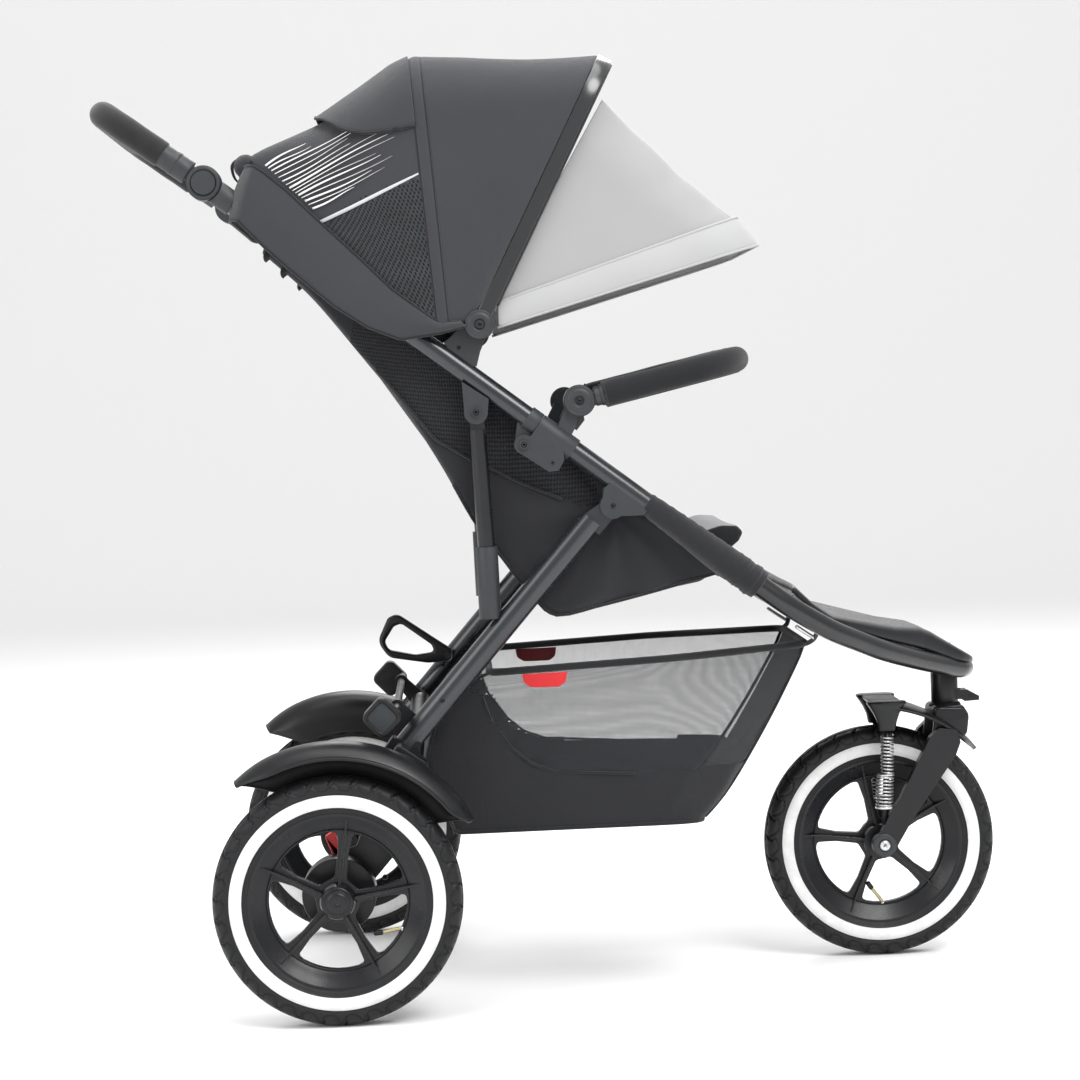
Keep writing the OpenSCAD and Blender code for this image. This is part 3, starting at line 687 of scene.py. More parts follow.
def wheel(x, y, turn, body, tyre_node, rim_node, name, cap_side=0):
    section, along = tyre_section()
    lugs = 34

    def knobs(a, j, r, yy):
        s = abs(along[j])
        if r < 130.5 or s > 38:
            return r, yy
        phase = (a * lugs / (2 * math.pi) + (0.5 if along[j] < 0 else 0)) % 1
        zig = abs(2 * phase - 1)
        cut = 0.0
        if abs(s - 7.5 - 3.2 * zig) < 1.2:
            cut = 2.5
        bend = 0.5 + 0.2 * math.sin((s - 10) / 26 * math.pi)
        if 10 < s < 29 and abs(phase - bend) < 0.055:
            cut = max(cut, 2.8)
        arch = 22 + 10.5 * (1 - (2 * ((phase + 0.5) % 1) - 1) ** 2)
        if s > 17 and abs(s - arch) < 1.15:
            cut = max(cut, 2.1)
        if s > 33:
            cut *= 0.4
        dr, dy = r - 125, yy
        k = math.hypot(dr, dy)
        return r - cut * dr / k, yy - cut * dy / k

    def which(j):
        r0 = section[j][0]
        r1 = section[(j + 1) % len(section)][0]
        return 1 if min(r0, r1) >= 113.9 and max(r0, r1) <= 129.1 else 0

    t = lathe(name + "_tyre", section, (x, y, WHEEL_UP), ["tyre", "tyre_band"], 544, pick=which, wobble=knobs)
    ride(t, body, tyre_node, slot="tyre")

    barrel = [(107, 18.6), (108.4, 17.6), (107.5, 16.2), (103, 14.8), (103, -14.8), (107.5, -16.2), (108.4, -17.6),
              (107, -18.6), (104.6, -18.4), (102.4, -16.8), (97, -13), (91, -9), (87, -7), (85, -5.4), (84.2, -3),
              (84.2, 3), (85, 5.4), (87, 7), (91, 9), (97, 13), (102.4, 16.8), (104.6, 18.4)]
    parts = [lathe("barrel", barrel, (x, y, WHEEL_UP), ["rim"], 144)]
    loops = [[(x + 87 * math.cos(a), 150 + 87 * math.sin(a))
              for a in np.linspace(0, 2 * math.pi, 144, endpoint=False)]]
    for i in range(5):
        lo, hi = turn + i * 72, turn + i * 72 + 72
        e = 6.3

        def at(r, deg, off):
            a = math.radians(deg)
            return np.array((r * math.cos(a) - off * math.sin(a), r * math.sin(a) + off * math.cos(a)))

        pts = [at(27, lo, e + 1), at(56, lo, e), at(80.5, lo, e + 3)]
        pts += [at(82.6, d, 0) for d in np.linspace(lo + 12, hi - 12, 9)]
        pts += [at(80.5, hi, -e - 3), at(56, hi, -e), at(27, hi, -e - 1)]
        round_to = [7, 0, 10] + [0] * 9 + [10, 0, 7]
        loops.append([(x + q[0], 150 + q[1]) for q in fillet(pts, round_to, 6)])
    parts.append(cut_plate("web", loops, y - 5, y + 5, ["rim"], 1.6))
    for i in range(5):
        a = math.radians(turn + i * 72)
        u, v = Vector((math.cos(a), 0, math.sin(a))), Vector((-math.sin(a), 0, math.cos(a)))
        outline = [(12, 18), (30, 15.4), (52, 13.2), (80, 12.4), (90, 13), (101, 16.2)]
        outline = outline + [(r, -h) for r, h in outline[::-1]]
        verts, faces = [], []
        c = pt(x, y, WHEEL_UP)
        for s in (-1, 1):
            verts += [c + (u * r + v * s * (1.7 if r < 90 else 1.2)) / 1000 + Vector((0, h / 1000, 0))
                      for r, h in outline]
        k = len(outline)
        faces = [tuple(range(k)), tuple(range(2 * k - 1, k - 1, -1))]
        faces += [(j, j + k, (j + 1) % k + k, (j + 1) % k) for j in range(k)]
        f = put("fin", verts, faces, ["rim"], smooth=False)
        b = f.modifiers.new("edges", "BEVEL")
        b.width, b.segments, b.limit_method, b.angle_limit = 0.0006, 2, "ANGLE", math.radians(40)
        parts.append(f)
    hub = [(8.2, -23), (8.2, 23), (9, 23.8), (17.8, 23.8), (19.2, 22.4), (20.3, 19), (22, 12), (22, -12), (20.3, -19),
           (19.2, -22.4), (17.8, -23.8), (9, -23.8)]
    parts.append(lathe("hub", hub, (x, y, WHEEL_UP), ["rim"], 64))
    r = join(name + "_rim", parts)
    ride(r, body, rim_node, slot="rim")
    if cap_side:
        s = cap_side
        cap = [(0.05, 26.3), (5, 26.3), (9, 26.25), (11.8, 26.0), (12.4, 24.9), (13.1, 24.9), (14.6, 25.6),
               (15.2, 24.8), (15.2, 22), (0.05, 22)]
        c = lathe(name + "_hub_cap", [(r, s * h) for r, h in cap], (x, y, WHEEL_UP), ["black_plastic"], 64)
        ride(c, body)
    valve(x, y, body, name, turn)


def valve(x, y, body, name, turn):
    a0 = math.radians(turn - (36 if y < -200 else 118))
    pts = []
    for k in range(12):
        t = k / 11
        a, r = a0 - 0.33 * t ** 1.5, 85 - 27 * t
        pts.append(pt(x + r * math.cos(a), y - 1.5 - 3 * t, 150 + r * math.sin(a)))
    stem = tube("stem", pts[:9], 2.3, ["brass"], 12)
    cap = tube("cap", even(pts[8:], 10), [3.3] * 8 + [2.9, 2.0], ["black_plastic"], 16)
    nut = tube("nut", [pts[0], pts[0].lerp(pts[1], 0.8)], 4.2, ["steel"], 6)
    ride(join(name + "_valve", [stem, cap, nut]), body)


wheel(0, -280, 9.7, "rear_wheel_right", "rear_tyre_right", "rear_rim_right", "rear_right", -1)
wheel(0, 280, 42, "rear_wheel_left", "rear_tyre_left", "rear_rim_left", "rear_left", 1)
wheel(695, 0, 30, "front_wheel", "front_tyre", "front_rim", "nose_wheel")


# ------------------------------------------------------------------ hood

def u_contour(base, top, half, bend, n, crown=0.0):
    """An inverted U in the plane through two side-view points and across the stroller."""
    base, top = np.array(base, float), np.array(top, float)
    length = np.linalg.norm(top - base)
    d = (top - base) / length
    line = fillet([(0, -half), (length, -half), (length, half), (0, half)], bend, 12, closed=False)
    out = []
    for r, y in even(line, n):
        lift = crown * max(0.0, 1 - (y / half) ** 2)
        p = base + d * (r + lift)
        out.append(pt(p[0], y, p[1]))
    return out


def between(points, t):
    """A point on a polyline in the side view, at a share of its length."""
    p = np.array(points, float)
    s = np.concatenate([[0], np.cumsum(np.linalg.norm(np.diff(p, axis=0), axis=1))])
    return np.array([np.interp(t * s[-1], s, p[:, i]) for i in range(2)])


HALF = 223.5
SEAM_REAR = ((143, 834), (118, 1158))
SEAM_FRONT = ((157, 833), (133, 1161))
FRONT_EDGE = ((197, 856), (351, 1156))
front_low = [SEAM_FRONT[0], (172, 832), (186, 840), FRONT_EDGE[0]]
front_top = [SEAM_FRONT[1], (180, 1161), (261, 1157), FRONT_EDGE[1]]
rear_low = [(-72, 1034), (-63, 1023), (-32, 996), (5, 959), (54, 911), (89, 875), SEAM_REAR[0]]
rear_top = [(-73, 1042), (-59, 1051), (4, 1083), (60, 1120), (98, 1146), SEAM_REAR[1]]


def slack(g, amount, seed):
    """Soft hollows in cloth held at its edges: moves the middle of a grid towards the inside of the hood."""
    g = np.array([[tuple(p) for p in row] for row in g], float)
    n, m = g.shape[:2]
    mid = np.array((-0.10, 0, 0.95))
    for i in range(n):
        for j in range(m):
            u, v = i / (n - 1), j / (m - 1)
            w = math.sin(math.pi * u) ** 0.8
            ripple = 0.5 + 0.5 * math.sin(3.1 * seed + 5 * v + 3 * u) * math.sin(7 * v - 2 * u + seed)
            inward = mid - g[i, j]
            inward /= np.linalg.norm(inward)
            g[i, j] += inward * amount / 1000 * w * (0.6 + 0.4 * ripple)
    return g


def hood_fold(o):
    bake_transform(o)


def seat_fold(o):
    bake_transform(o)


def hood():
    n = 97
    rows = []
    for t in np.linspace(0, 1, 26):
        rows.append(u_contour(between(front_low, t), between(front_top, t), HALF - 0.4 * t, 66, n))
    front = sheet("hood_front_cloth", slack(rows, 5, 1), ["fabric"], thick=2.0, sub=1, offset=-1)
    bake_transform(front)
    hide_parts("hood_front")

    rows = []
    for t in np.linspace(0, 1, 30):
        rows.append(u_contour(between(rear_low, t), between(rear_top, t), HALF - 2 + 2 * t, 66, n))
    rear_grid = slack(rows, 4, 2)

    def mesh_part(u, v, p):
        x, z = side_view(p)
        below = (x - 5) * (1014 - 959) / 122 + 959 - z
        return 1 if below > 0 and x > 8 else 0

    rear = sheet("hood_rear_cloth", rear_grid, ["fabric", "spacer"], pick=mesh_part, thick=2.0, sub=1, offset=-1)
    hood_fold(rear)
    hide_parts("hood_rear")

    # the channel that holds the middle bow, between two raised seams
    rows = [u_contour(between([SEAM_REAR[0], SEAM_FRONT[0]], t), between([SEAM_REAR[1], SEAM_FRONT[1]], t)
                      + np.array((0, 2.0 * math.sin(math.pi * t))), HALF + 0.6 + 1.8 * math.sin(math.pi * t), 67, n)
            for t in np.linspace(0, 1, 7)]
    band = sheet("hood_bow_channel", rows, ["fabric"], thick=1.4, sub=1, offset=-1)
    ride(band, "hood_mid", slot="fabric")
    for k, (lo, hi) in enumerate((SEAM_REAR, SEAM_FRONT)):
        cord = tube(f"hood_seam_{k + 1}", u_contour(lo, hi, HALF + 1.2, 67, 110), 1.5, ["binding"], 10)
        ride(cord, "hood_mid", slot="fabric")

    # the flap over the rear window
    drops = [(0, 93), (0.25, 82), (0.5, 66), (0.75, 38), (0.9, 14), (1, 4)]
    rows = []
    for t in np.linspace(0, 1, 22):
        top = between([(119, 1160), (98, 1151), (60, 1125), (4, 1089)], t)
        base = between([(142, 850), (89, 880), (30, 935), (5, 960)], t)
        full = even(fillet([(0, -HALF - 4), (np.linalg.norm(top - base) + 3, -HALF - 4),
                            (np.linalg.norm(top - base) + 3, HALF + 4), (0, HALF + 4)], 68, 14, closed=False), 400)
        length = np.linalg.norm(top - base) + 3
        drop = np.interp(t, *zip(*drops))
        part = even(full[full[:, 0] >= length - drop], 61)
        d = (top - base) / np.linalg.norm(top - base)
        rows.append([pt(base[0] + d[0] * r, y, base[1] + d[1] * r) for r, y in part])
    flap_grid = grid(rows)
    flap = sheet("hood_window_flap", flap_grid, ["fabric"], thick=2.2, sub=1, offset=0)
    hood_fold(flap)
    hem = np.concatenate([flap_grid[:, 0], flap_grid[-1, 1:-1], flap_grid[::-1, -1]])
    hem_tube = tube("hood_flap_hem", hem, 1.7, ["binding"], 10)
    hood_fold(hem_tube)


def hood_print():
    """Pale streaks printed on the hood's rear side, and the pale piping over its mesh corner."""
    rng = np.random.default_rng(11)
    parts = []
    for side in (-1, 1):
        for k in range(15):
            t = (k + 0.5) / 15
            x0, z0 = -62 + 58 * t, 1029 - 56 * t
            length = rng.uniform(62, 118) * (0.75 + 0.5 * math.sin(math.pi * t))
            width = rng.choice([1.1, 1.6, 2.4])
            slope = math.radians(28.5 - 5 * t + rng.uniform(-0.8, 0.8))
            line = []
            for s in np.linspace(0, 1, 14):
                wave = 1.5 * math.sin(4.4 * s + 0.7 * k)
                w = width * (1 - 0.85 * s ** 1.5)
                x = x0 + 4 + length * s * math.cos(slope) - wave * math.sin(slope)
                z = z0 + 3 + length * s * math.sin(slope) + wave * math.cos(slope)
                line.append([pt(x - w / 2 * math.sin(slope), side * (HALF + 0.2), z + w / 2 * math.cos(slope)),
                             pt(x + w / 2 * math.sin(slope), side * (HALF + 0.2), z - w / 2 * math.cos(slope))])
            parts.append(sheet("streak", line if side < 0 else [r[::-1] for r in line], ["print"], thick=0.8))
        edge = [pt(x, side * (HALF - d), z) for x, d, z in ((5, 0.6, 960), (45, 1.8, 977.5), (85, 1.6, 996),
                                                            (127, 0.2, 1015))]
        parts.append(tube("edge", edge, 2.2, ["piping"], 12))
    p = join("hood_streaks", parts)
    hood_fold(p)


def hood_skirt():
    """The band round the head end of the seat that the hood is sewn to."""
    upper = [(172, 836), (143, 836), (89, 878), (54, 914), (5, 962), (-32, 999), (-60, 1023), (-71, 1030)]
    lower = [(178, 831), (145, 823), (99, 817), (60, 833), (20, 860), (-29, 903), (-62, 934), (-92, 966)]
    rows = []
    for k in range(11):
        v = k / 10
        side = [between(lower, t) * (1 - v) + between(upper, t) * v for t in np.linspace(0, 1, 60)]
        bulge = 4.0 * math.sin(math.pi * v)
        back = side[-1]
        line = [(p[0], -HALF - 1 - bulge, p[1]) for p in side]
        line += [(back[0] - 9 - bulge, -HALF + 12, back[1] + 1)]
        line += [(back[0] - 12 - bulge, y, back[1] + 1) for y in np.linspace(-180, 180, 9)]
        line += [(back[0] - 9 - bulge, HALF - 12, back[1] + 1)]
        line += [(p[0], HALF + 1 + bulge, p[1]) for p in side[::-1]]
        rows.append([pt(*q) for q in spline(line, 230)])
    g = grid(rows)
    s = sheet("hood_skirt", g, ["fabric"], thick=2.2, sub=1, offset=0)
    ride(s, "upper_frame", slot="fabric")
    for name, row in (("lower", g[0]), ("upper", g[-1])):
        ride(tube(f"hood_skirt_{name}_hem", row, 2.0, ["binding"], 10), "upper_frame", slot="fabric")


def visor():
    def reach(deg):
        return float(np.interp(deg, [17.5, 24.9, 35.2, 49.5, 56.2, 60], [353, 327, 307, 304, 311, 318]))

    rows, n = [], 81
    for deg in np.linspace(59.5, 20.6, 20):
        a = math.radians(deg)
        base = (HOOD[0] + 24 * math.cos(a), HOOD[1] + 24 * math.sin(a))
        top = (HOOD[0] + reach(deg) * math.cos(a), HOOD[1] + reach(deg) * math.sin(a))
        rows.append(u_contour(base, top, 209.5, 60, n))
    cloth_piece = sheet("visor_cloth", rows, ["visor"], thick=0.8, offset=0, sub=1)
    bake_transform(cloth_piece)
    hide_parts("visor_panel")
    rows = []
    for k in range(6):
        v = k / 5
        a = math.radians(20.8 - 6.6 * v)
        base = (HOOD[0] + 22, HOOD[1] + 26 - 30 * v)
        top = (HOOD[0] + (346 + 13 * v) * math.cos(a), HOOD[1] + (346 + 13 * v) * math.sin(a))
        rows.append(u_contour(base, top, 210.5 + 2.2 * math.sin(math.pi * v), 62, n))
    band = sheet("visor_band", rows, ["visor_band"], thick=1.6, offset=0, sub=1)
    ride(band, "visor", "visor_bow", slot="visor_bow")
    for k, row in enumerate((rows[0], rows[-1])):
        ride(tube(f"visor_hem_{k + 1}", row, 1.7, ["visor_band"], 10), "visor", slot="visor_bow")
    a = math.radians(62.7)
    d, nn = np.array((math.cos(a), math.sin(a))), np.array((math.sin(a), -math.cos(a)))
    c = np.array(HOOD, float)
    edge = u_contour(c + d * 30 + nn * 10.2, c + d * 358 + nn * 10.2, 218.5, 64, 110)
    ride(tube("front_bow_piping", edge, 1.5, ["casting"], 10), "hood_front")


hood()
hood_print()
hood_skirt()
visor()


# ------------------------------------------------------------------ seat

SEAT_EDGE = [(-67, 928), (-11, 874), (47, 801), (98, 733), (140, 664), (179, 590), (209, 548), (232, 515), (250, 492),
             (276, 471), (330, 481), (392, 495), (440, 507), (486, 519)]
SEAT_TOP = [(-58, 952), (6, 902), (72, 850), (128, 806), (172, 772), (212, 740), (240, 718), (262, 702), (284, 685),
            (312, 662), (360, 625), (404, 590), (440, 562), (490, 530)]
MESH_LOW = [(40, 812), (80, 765), (136, 694), (175, 670), (205, 655), (233, 640), (261, 628), (289, 616), (330, 603)]


def seat_shell():
    edge, top = spline([(x, 0, z) for x, z in SEAT_EDGE], 100), spline([(x, 0, z) for x, z in SEAT_TOP], 100)
    rows = []
    for (ex, _, ez), (tx, _, tz) in zip(edge, top):
        length = math.hypot(ex - tx, ez - tz)
        d = np.array((ex - tx, ez - tz)) / length
        line = fillet([(0, -184), (length * 0.5, -183), (length, -181), (length, 181), (length * 0.5, 183), (0, 184)],
                      [0, 200, 9, 9, 200, 0], 8, closed=False)
        row = []
        for r, y in even(line, 105):
            u = y / 181
            hang = -7.0 * max(0.0, 1 - u * u) if r > length * 0.97 else 0.0
            wrinkle = 1.6 * math.sin(ex * 0.071 + r * 0.045) * math.sin(r * 0.031 + 1.1) * (r / length)
            p = np.array((tx, tz)) + d * (r + hang * 0.4)
            away, turn = math.hypot(p[0] - 350, p[1] - 600), math.atan2(p[1] - 600, p[0] - 350)
            wrinkle += 2.6 * math.sin(9 * turn + 0.02 * away) * math.exp(-((away - 70) / 75) ** 2)
            away, turn = math.hypot(p[0] - 262, p[1] - 474), math.atan2(p[1] - 474, p[0] - 262)
            wrinkle += 1.8 * math.sin(11 * turn + 1) * math.exp(-((away - 55) / 50) ** 2)
            row.append(pt(p[0], y + (wrinkle if y < 0 else -wrinkle) * (abs(y) > 150), p[1]))
        rows.append(row)

    def pick(u, v, p):
        x, z = side_view(p)
        if abs(p[1]) < 0.172 or not 38 < x < 332:
            return 0
        return 1 if z > np.interp(x, *zip(*MESH_LOW)) else 0

    shell = sheet("seat_shell", rows, ["fabric_dark", "spacer_dark"], pick=pick, thick=2.4, offset=-1)
    seat_fold(shell)
    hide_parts("seat_base", "seat_back")
    for side, name in SIDES:
        line = [pt(x, side * 184.6, z) for x, z in even(MESH_LOW[1:-1], 40)]
        seat_fold(tube(f"seat_side_seam_{name}", line, 1.5, ["binding"], 8))
        hem = [pt(x, side * 183.5, z - 2) for x, _, z in top[::3]]
        seat_fold(tube(f"seat_side_hem_{name}", hem, 3.0, ["binding"], 8))
        welt = []
        for (ex, _, ez), (tx, _, tz) in zip(edge[46::2], top[46::2]):
            k = 2.2 / math.hypot(tx - ex, tz - ez)
            welt.append(pt(ex + (tx - ex) * k, side * 179.6, ez + (tz - ez) * k))
        seat_fold(tube(f"seat_bottom_welt_{name}", welt, 1.8, ["binding"], 8))


def cushion(name, outline, half, body_piece, seams=(), puff=0.010):
    """A stuffed pad from its side-view outline, swelled in a cloth simulation, then quilted by its seams."""
    loop = fillet(outline, 8, 4)
    m = len(loop)
    verts = [pt(x, y, z) for y in (-half, half) for x, z in loop]
    faces = [tuple(range(m))[::-1], tuple(range(m, 2 * m))]
    faces += [(j, (j + 1) % m, (j + 1) % m + m, j + m) for j in range(m)]
    o = put(name, verts, faces, [body_piece])
    r = o.modifiers.new("remesh", "REMESH")
    r.mode, r.voxel_size = "VOXEL", 0.0072
    me = evaluated_mesh(o)
    o.modifiers.clear()
    o.data = me
    start = np.array([v.co for v in me.vertices])
    c = o.modifiers.new("cloth", "CLOTH")
    c.settings.use_pressure = True
    c.settings.uniform_pressure_force = 4
    c.settings.effector_weights.gravity = 0
    c.settings.quality = 4
    scene = bpy.context.scene
    for f in range(1, 17):
        scene.frame_set(f)
    dg = bpy.context.evaluated_depsgraph_get()
    got = np.array([v.co for v in o.evaluated_get(dg).data.vertices])
    move = got - start
    size = np.linalg.norm(move, axis=1)
    move *= (np.minimum(size, puff) / np.maximum(size, 1e-9))[:, None]
    o.modifiers.clear()
    me.vertices.foreach_set("co", (start + move).astype(np.float32).ravel())
    scene.frame_set(1)
    me = o.data
    me.materials.clear()
    me.materials.append(MAT[body_piece])
    co = np.array([v.co for v in me.vertices])
    inward = np.array([v.normal for v in me.vertices])
    for (a, b, depth, width) in seams:
        a, b = np.array(a), np.array(b)
        d = b - a
        t = np.clip(((co - a) @ d) / (d @ d), 0, 1)
        dist = np.linalg.norm(co - (a + t[:, None] * d), axis=1)
        co -= inward * (depth / 1000 * np.exp(-(dist / (width / 1000)) ** 2))[:, None]
    me.vertices.foreach_set("co", co.astype(np.float32).ravel())
    me.polygons.foreach_set("use_smooth", np.full(len(me.polygons), True))
    subdivide(o)
    me.update()
    return o


def pads():
    back = cushion("back_cushion", [(-50, 930), (0, 880), (58, 806), (150, 670), (188, 596), (204, 574), (214, 580),
                                    (203, 600), (165, 676), (70, 816), (10, 890), (-40, 938)], 158, "pad_fabric",
                   [(pt(x, -150, z), pt(x, 150, z), 5, 9) for x, z in ((20, 876), (90, 787), (150, 700))])
    ride(back, "backrest", "back_pad", slot="fabric")
    base = cushion("seat_cushion", [(268, 500), (281, 481), (468, 513), (484, 524), (480, 534), (280, 507)], 158,
                   "pad_fabric", [(pt(x, -150, z), pt(x, 150, z), 4, 8) for x, z in ((335, 520), (400, 530))], 0.007)
    ride(base, "lower_frame", "seat_pad", slot="fabric")


def seat_lip():
    profile = fillet([(456, 552), (462, 570), (484, 577), (506, 575.5), (514, 567), (508, 556), (497, 547), (486, 549)],
                     [6, 6, 30, 6, 6, 10, 7, 20], 5)
    ys = np.concatenate([[-164, -162.5, -159, -152], np.linspace(-140, 140, 25), [152, 159, 162.5, 164]])
    rows = []
    mid = np.array((485, 562))
    for y in ys:
        k = 1 - 0.10 * max(0, (abs(y) - 140) / 24) ** 2
        dip = -2.5 * math.cos(y / 164 * math.pi / 2)
        rows.append([pt(*(mid + (q - mid) * k)[:1], y, (mid + (q - mid) * k)[1] + dip) for q in profile])

    def pick(u, v, p):
        x, z = side_view(p)
        return 1 if z > 559 and x < 512 and abs(p[1]) < 0.160 else 0

    lip = sheet("seat_lip", rows, ["binding", "grey_fabric"], pick=pick, close=True, sub=1)
    close_ends(lip, recalc=False)
    ride(lip, "lower_frame", "seat_front", slot="fabric")
    for side, name in SIDES:
        xs = np.concatenate([np.linspace(390, 500, 40), np.linspace(502, 527, 22)])
        path, radii = [], []
        for x in xs:
            path.append(pt(x, side * 200, side_h(x)))
            t = (x - 390) / 110
            r = 13.7 + 5.6 * min(1, max(0, t)) ** 0.8
            if x > 498:
                r += 1.1 * math.sin((x - 498) * 0.42 + 0.4) * (0.6 + 0.4 * math.sin(x * 0.9))
            r += 0.35 * math.sin(x * 0.55) + 0.25 * math.sin(x * 1.3)
            radii.append(r if 390 < x < 526.5 else 13.4)
        s = tube(f"tube_sleeve_{name}", path, radii, ["fabric_dark"], 48)
        ride(s, "lower_frame", slot="fabric")
        apron = [[pt(x, side * (200 + 14.5), z + 4) for x, z in ((404, 600), (430, 582), (458, 560), (486, 540))],
                 [pt(x, side * (200 + 12), z) for x, z in ((405, 588), (425, 566), (450, 545), (480, 524))],
                 [pt(x, side * (200 + 4), z) for x, z in ((409, 580), (428, 561), (452, 539), (482, 513))],
                 [pt(x, side * (200 - 8), z) for x, z in ((412, 576), (431, 556), (455, 533), (486, 508))]]
        g = grid(apron)
        a = sheet(f"sleeve_flap_{name}", g, ["fabric_dark"], thick=1.6, sub=2)
        ride(a, "lower_frame", slot="fabric")


def strap(name, points, width, thick, across=(0, 1, 0), n=60):
    """Flat webbing along a path, with woven edges."""
    c = spline(points, n)
    tan = np.gradient(c, axis=0)
    w = np.array(across, float)
    section = [(-1, -0.35), (-0.96, -1), (-0.6, -0.9), (0, -1), (0.6, -0.9), (0.96, -1), (1, -0.35), (1, 0.35),
               (0.96, 1), (0.6, 0.9), (0, 1), (-0.6, 0.9), (-0.96, 1), (-1, 0.35)]
    rows = []
    for p, t in zip(c, tan):
        t = t / np.linalg.norm(t)
        side = w - (w @ t) * t
        side /= np.linalg.norm(side)
        up = np.cross(t, side)
        rows.append([p + side * a * width / 2000 + up * b * thick / 2000 for a, b in section])
    return sheet(name, rows, ["webbing"], close=True)


def harness():
    shoulder, lap = [], []
    for s in (-1, 1):
        line = [(66, 40, 828), (100, 40, 784), (140, 41, 727), (172, 41, 682), (230, 40, 634), (290, 36, 594),
                (336, 30, 564), (352, 22, 568)]
        shoulder.append(strap("web", [pt(x, s * y, z) for x, y, z in line], 25, 1.6))
        line = [pt(x, s * 40, z) for x, z in ((104, 785), (140, 733), (172, 689), (205, 662))]
        pad = strap("pad", line, 50, 9)
        pad.data.materials.clear()
        pad.data.materials.append(MAT["cover"])
        subdivide(pad)
        shoulder.append(pad)
        lap.append(strap("lap", [pt(300, s * 152, 524), pt(316, s * 122, 545), pt(332, s * 80, 562),
                                 pt(344, s * 44, 566), pt(352, s * 24, 566)], 25, 1.6, across=(0.6, 0, 0.8)))
    sh = join("shoulder_harness", shoulder)
    ride(sh, "backrest", "shoulder_straps", slot="webbing")
    lap.append(strap("crotch", [pt(352, 0, 527), pt(356, 0, 540), pt(359, 0, 552), pt(361, 0, 560)], 27, 1.8))
    ride(join("lap_harness", lap), "lower_frame", "lap_straps", slot="webbing")


seat_shell()
pads()
seat_lip()
harness()
paint_node("harness_buckle", "black_plastic", 2.0)
paint_node("buckle_button", "red", 0.8)


# ------------------------------------------------------------------ basket

REAR_LINE = [(192, 404), (156, 388), (128, 356), (110, 306), (108, 290), (124, 248), (141, 206)]
FRONT_LINE = [(592, 421), (581, 396), (541, 325), (489, 246), (453, 208)]
NET_LOW = [(150, 400), (182, 375), (192, 344), (218, 308), (240, 289), (270, 278), (369, 272), (500, 276)]


def basket_half(x):
    return np.interp(x, [100, 420, 600], [166, 166, 117])


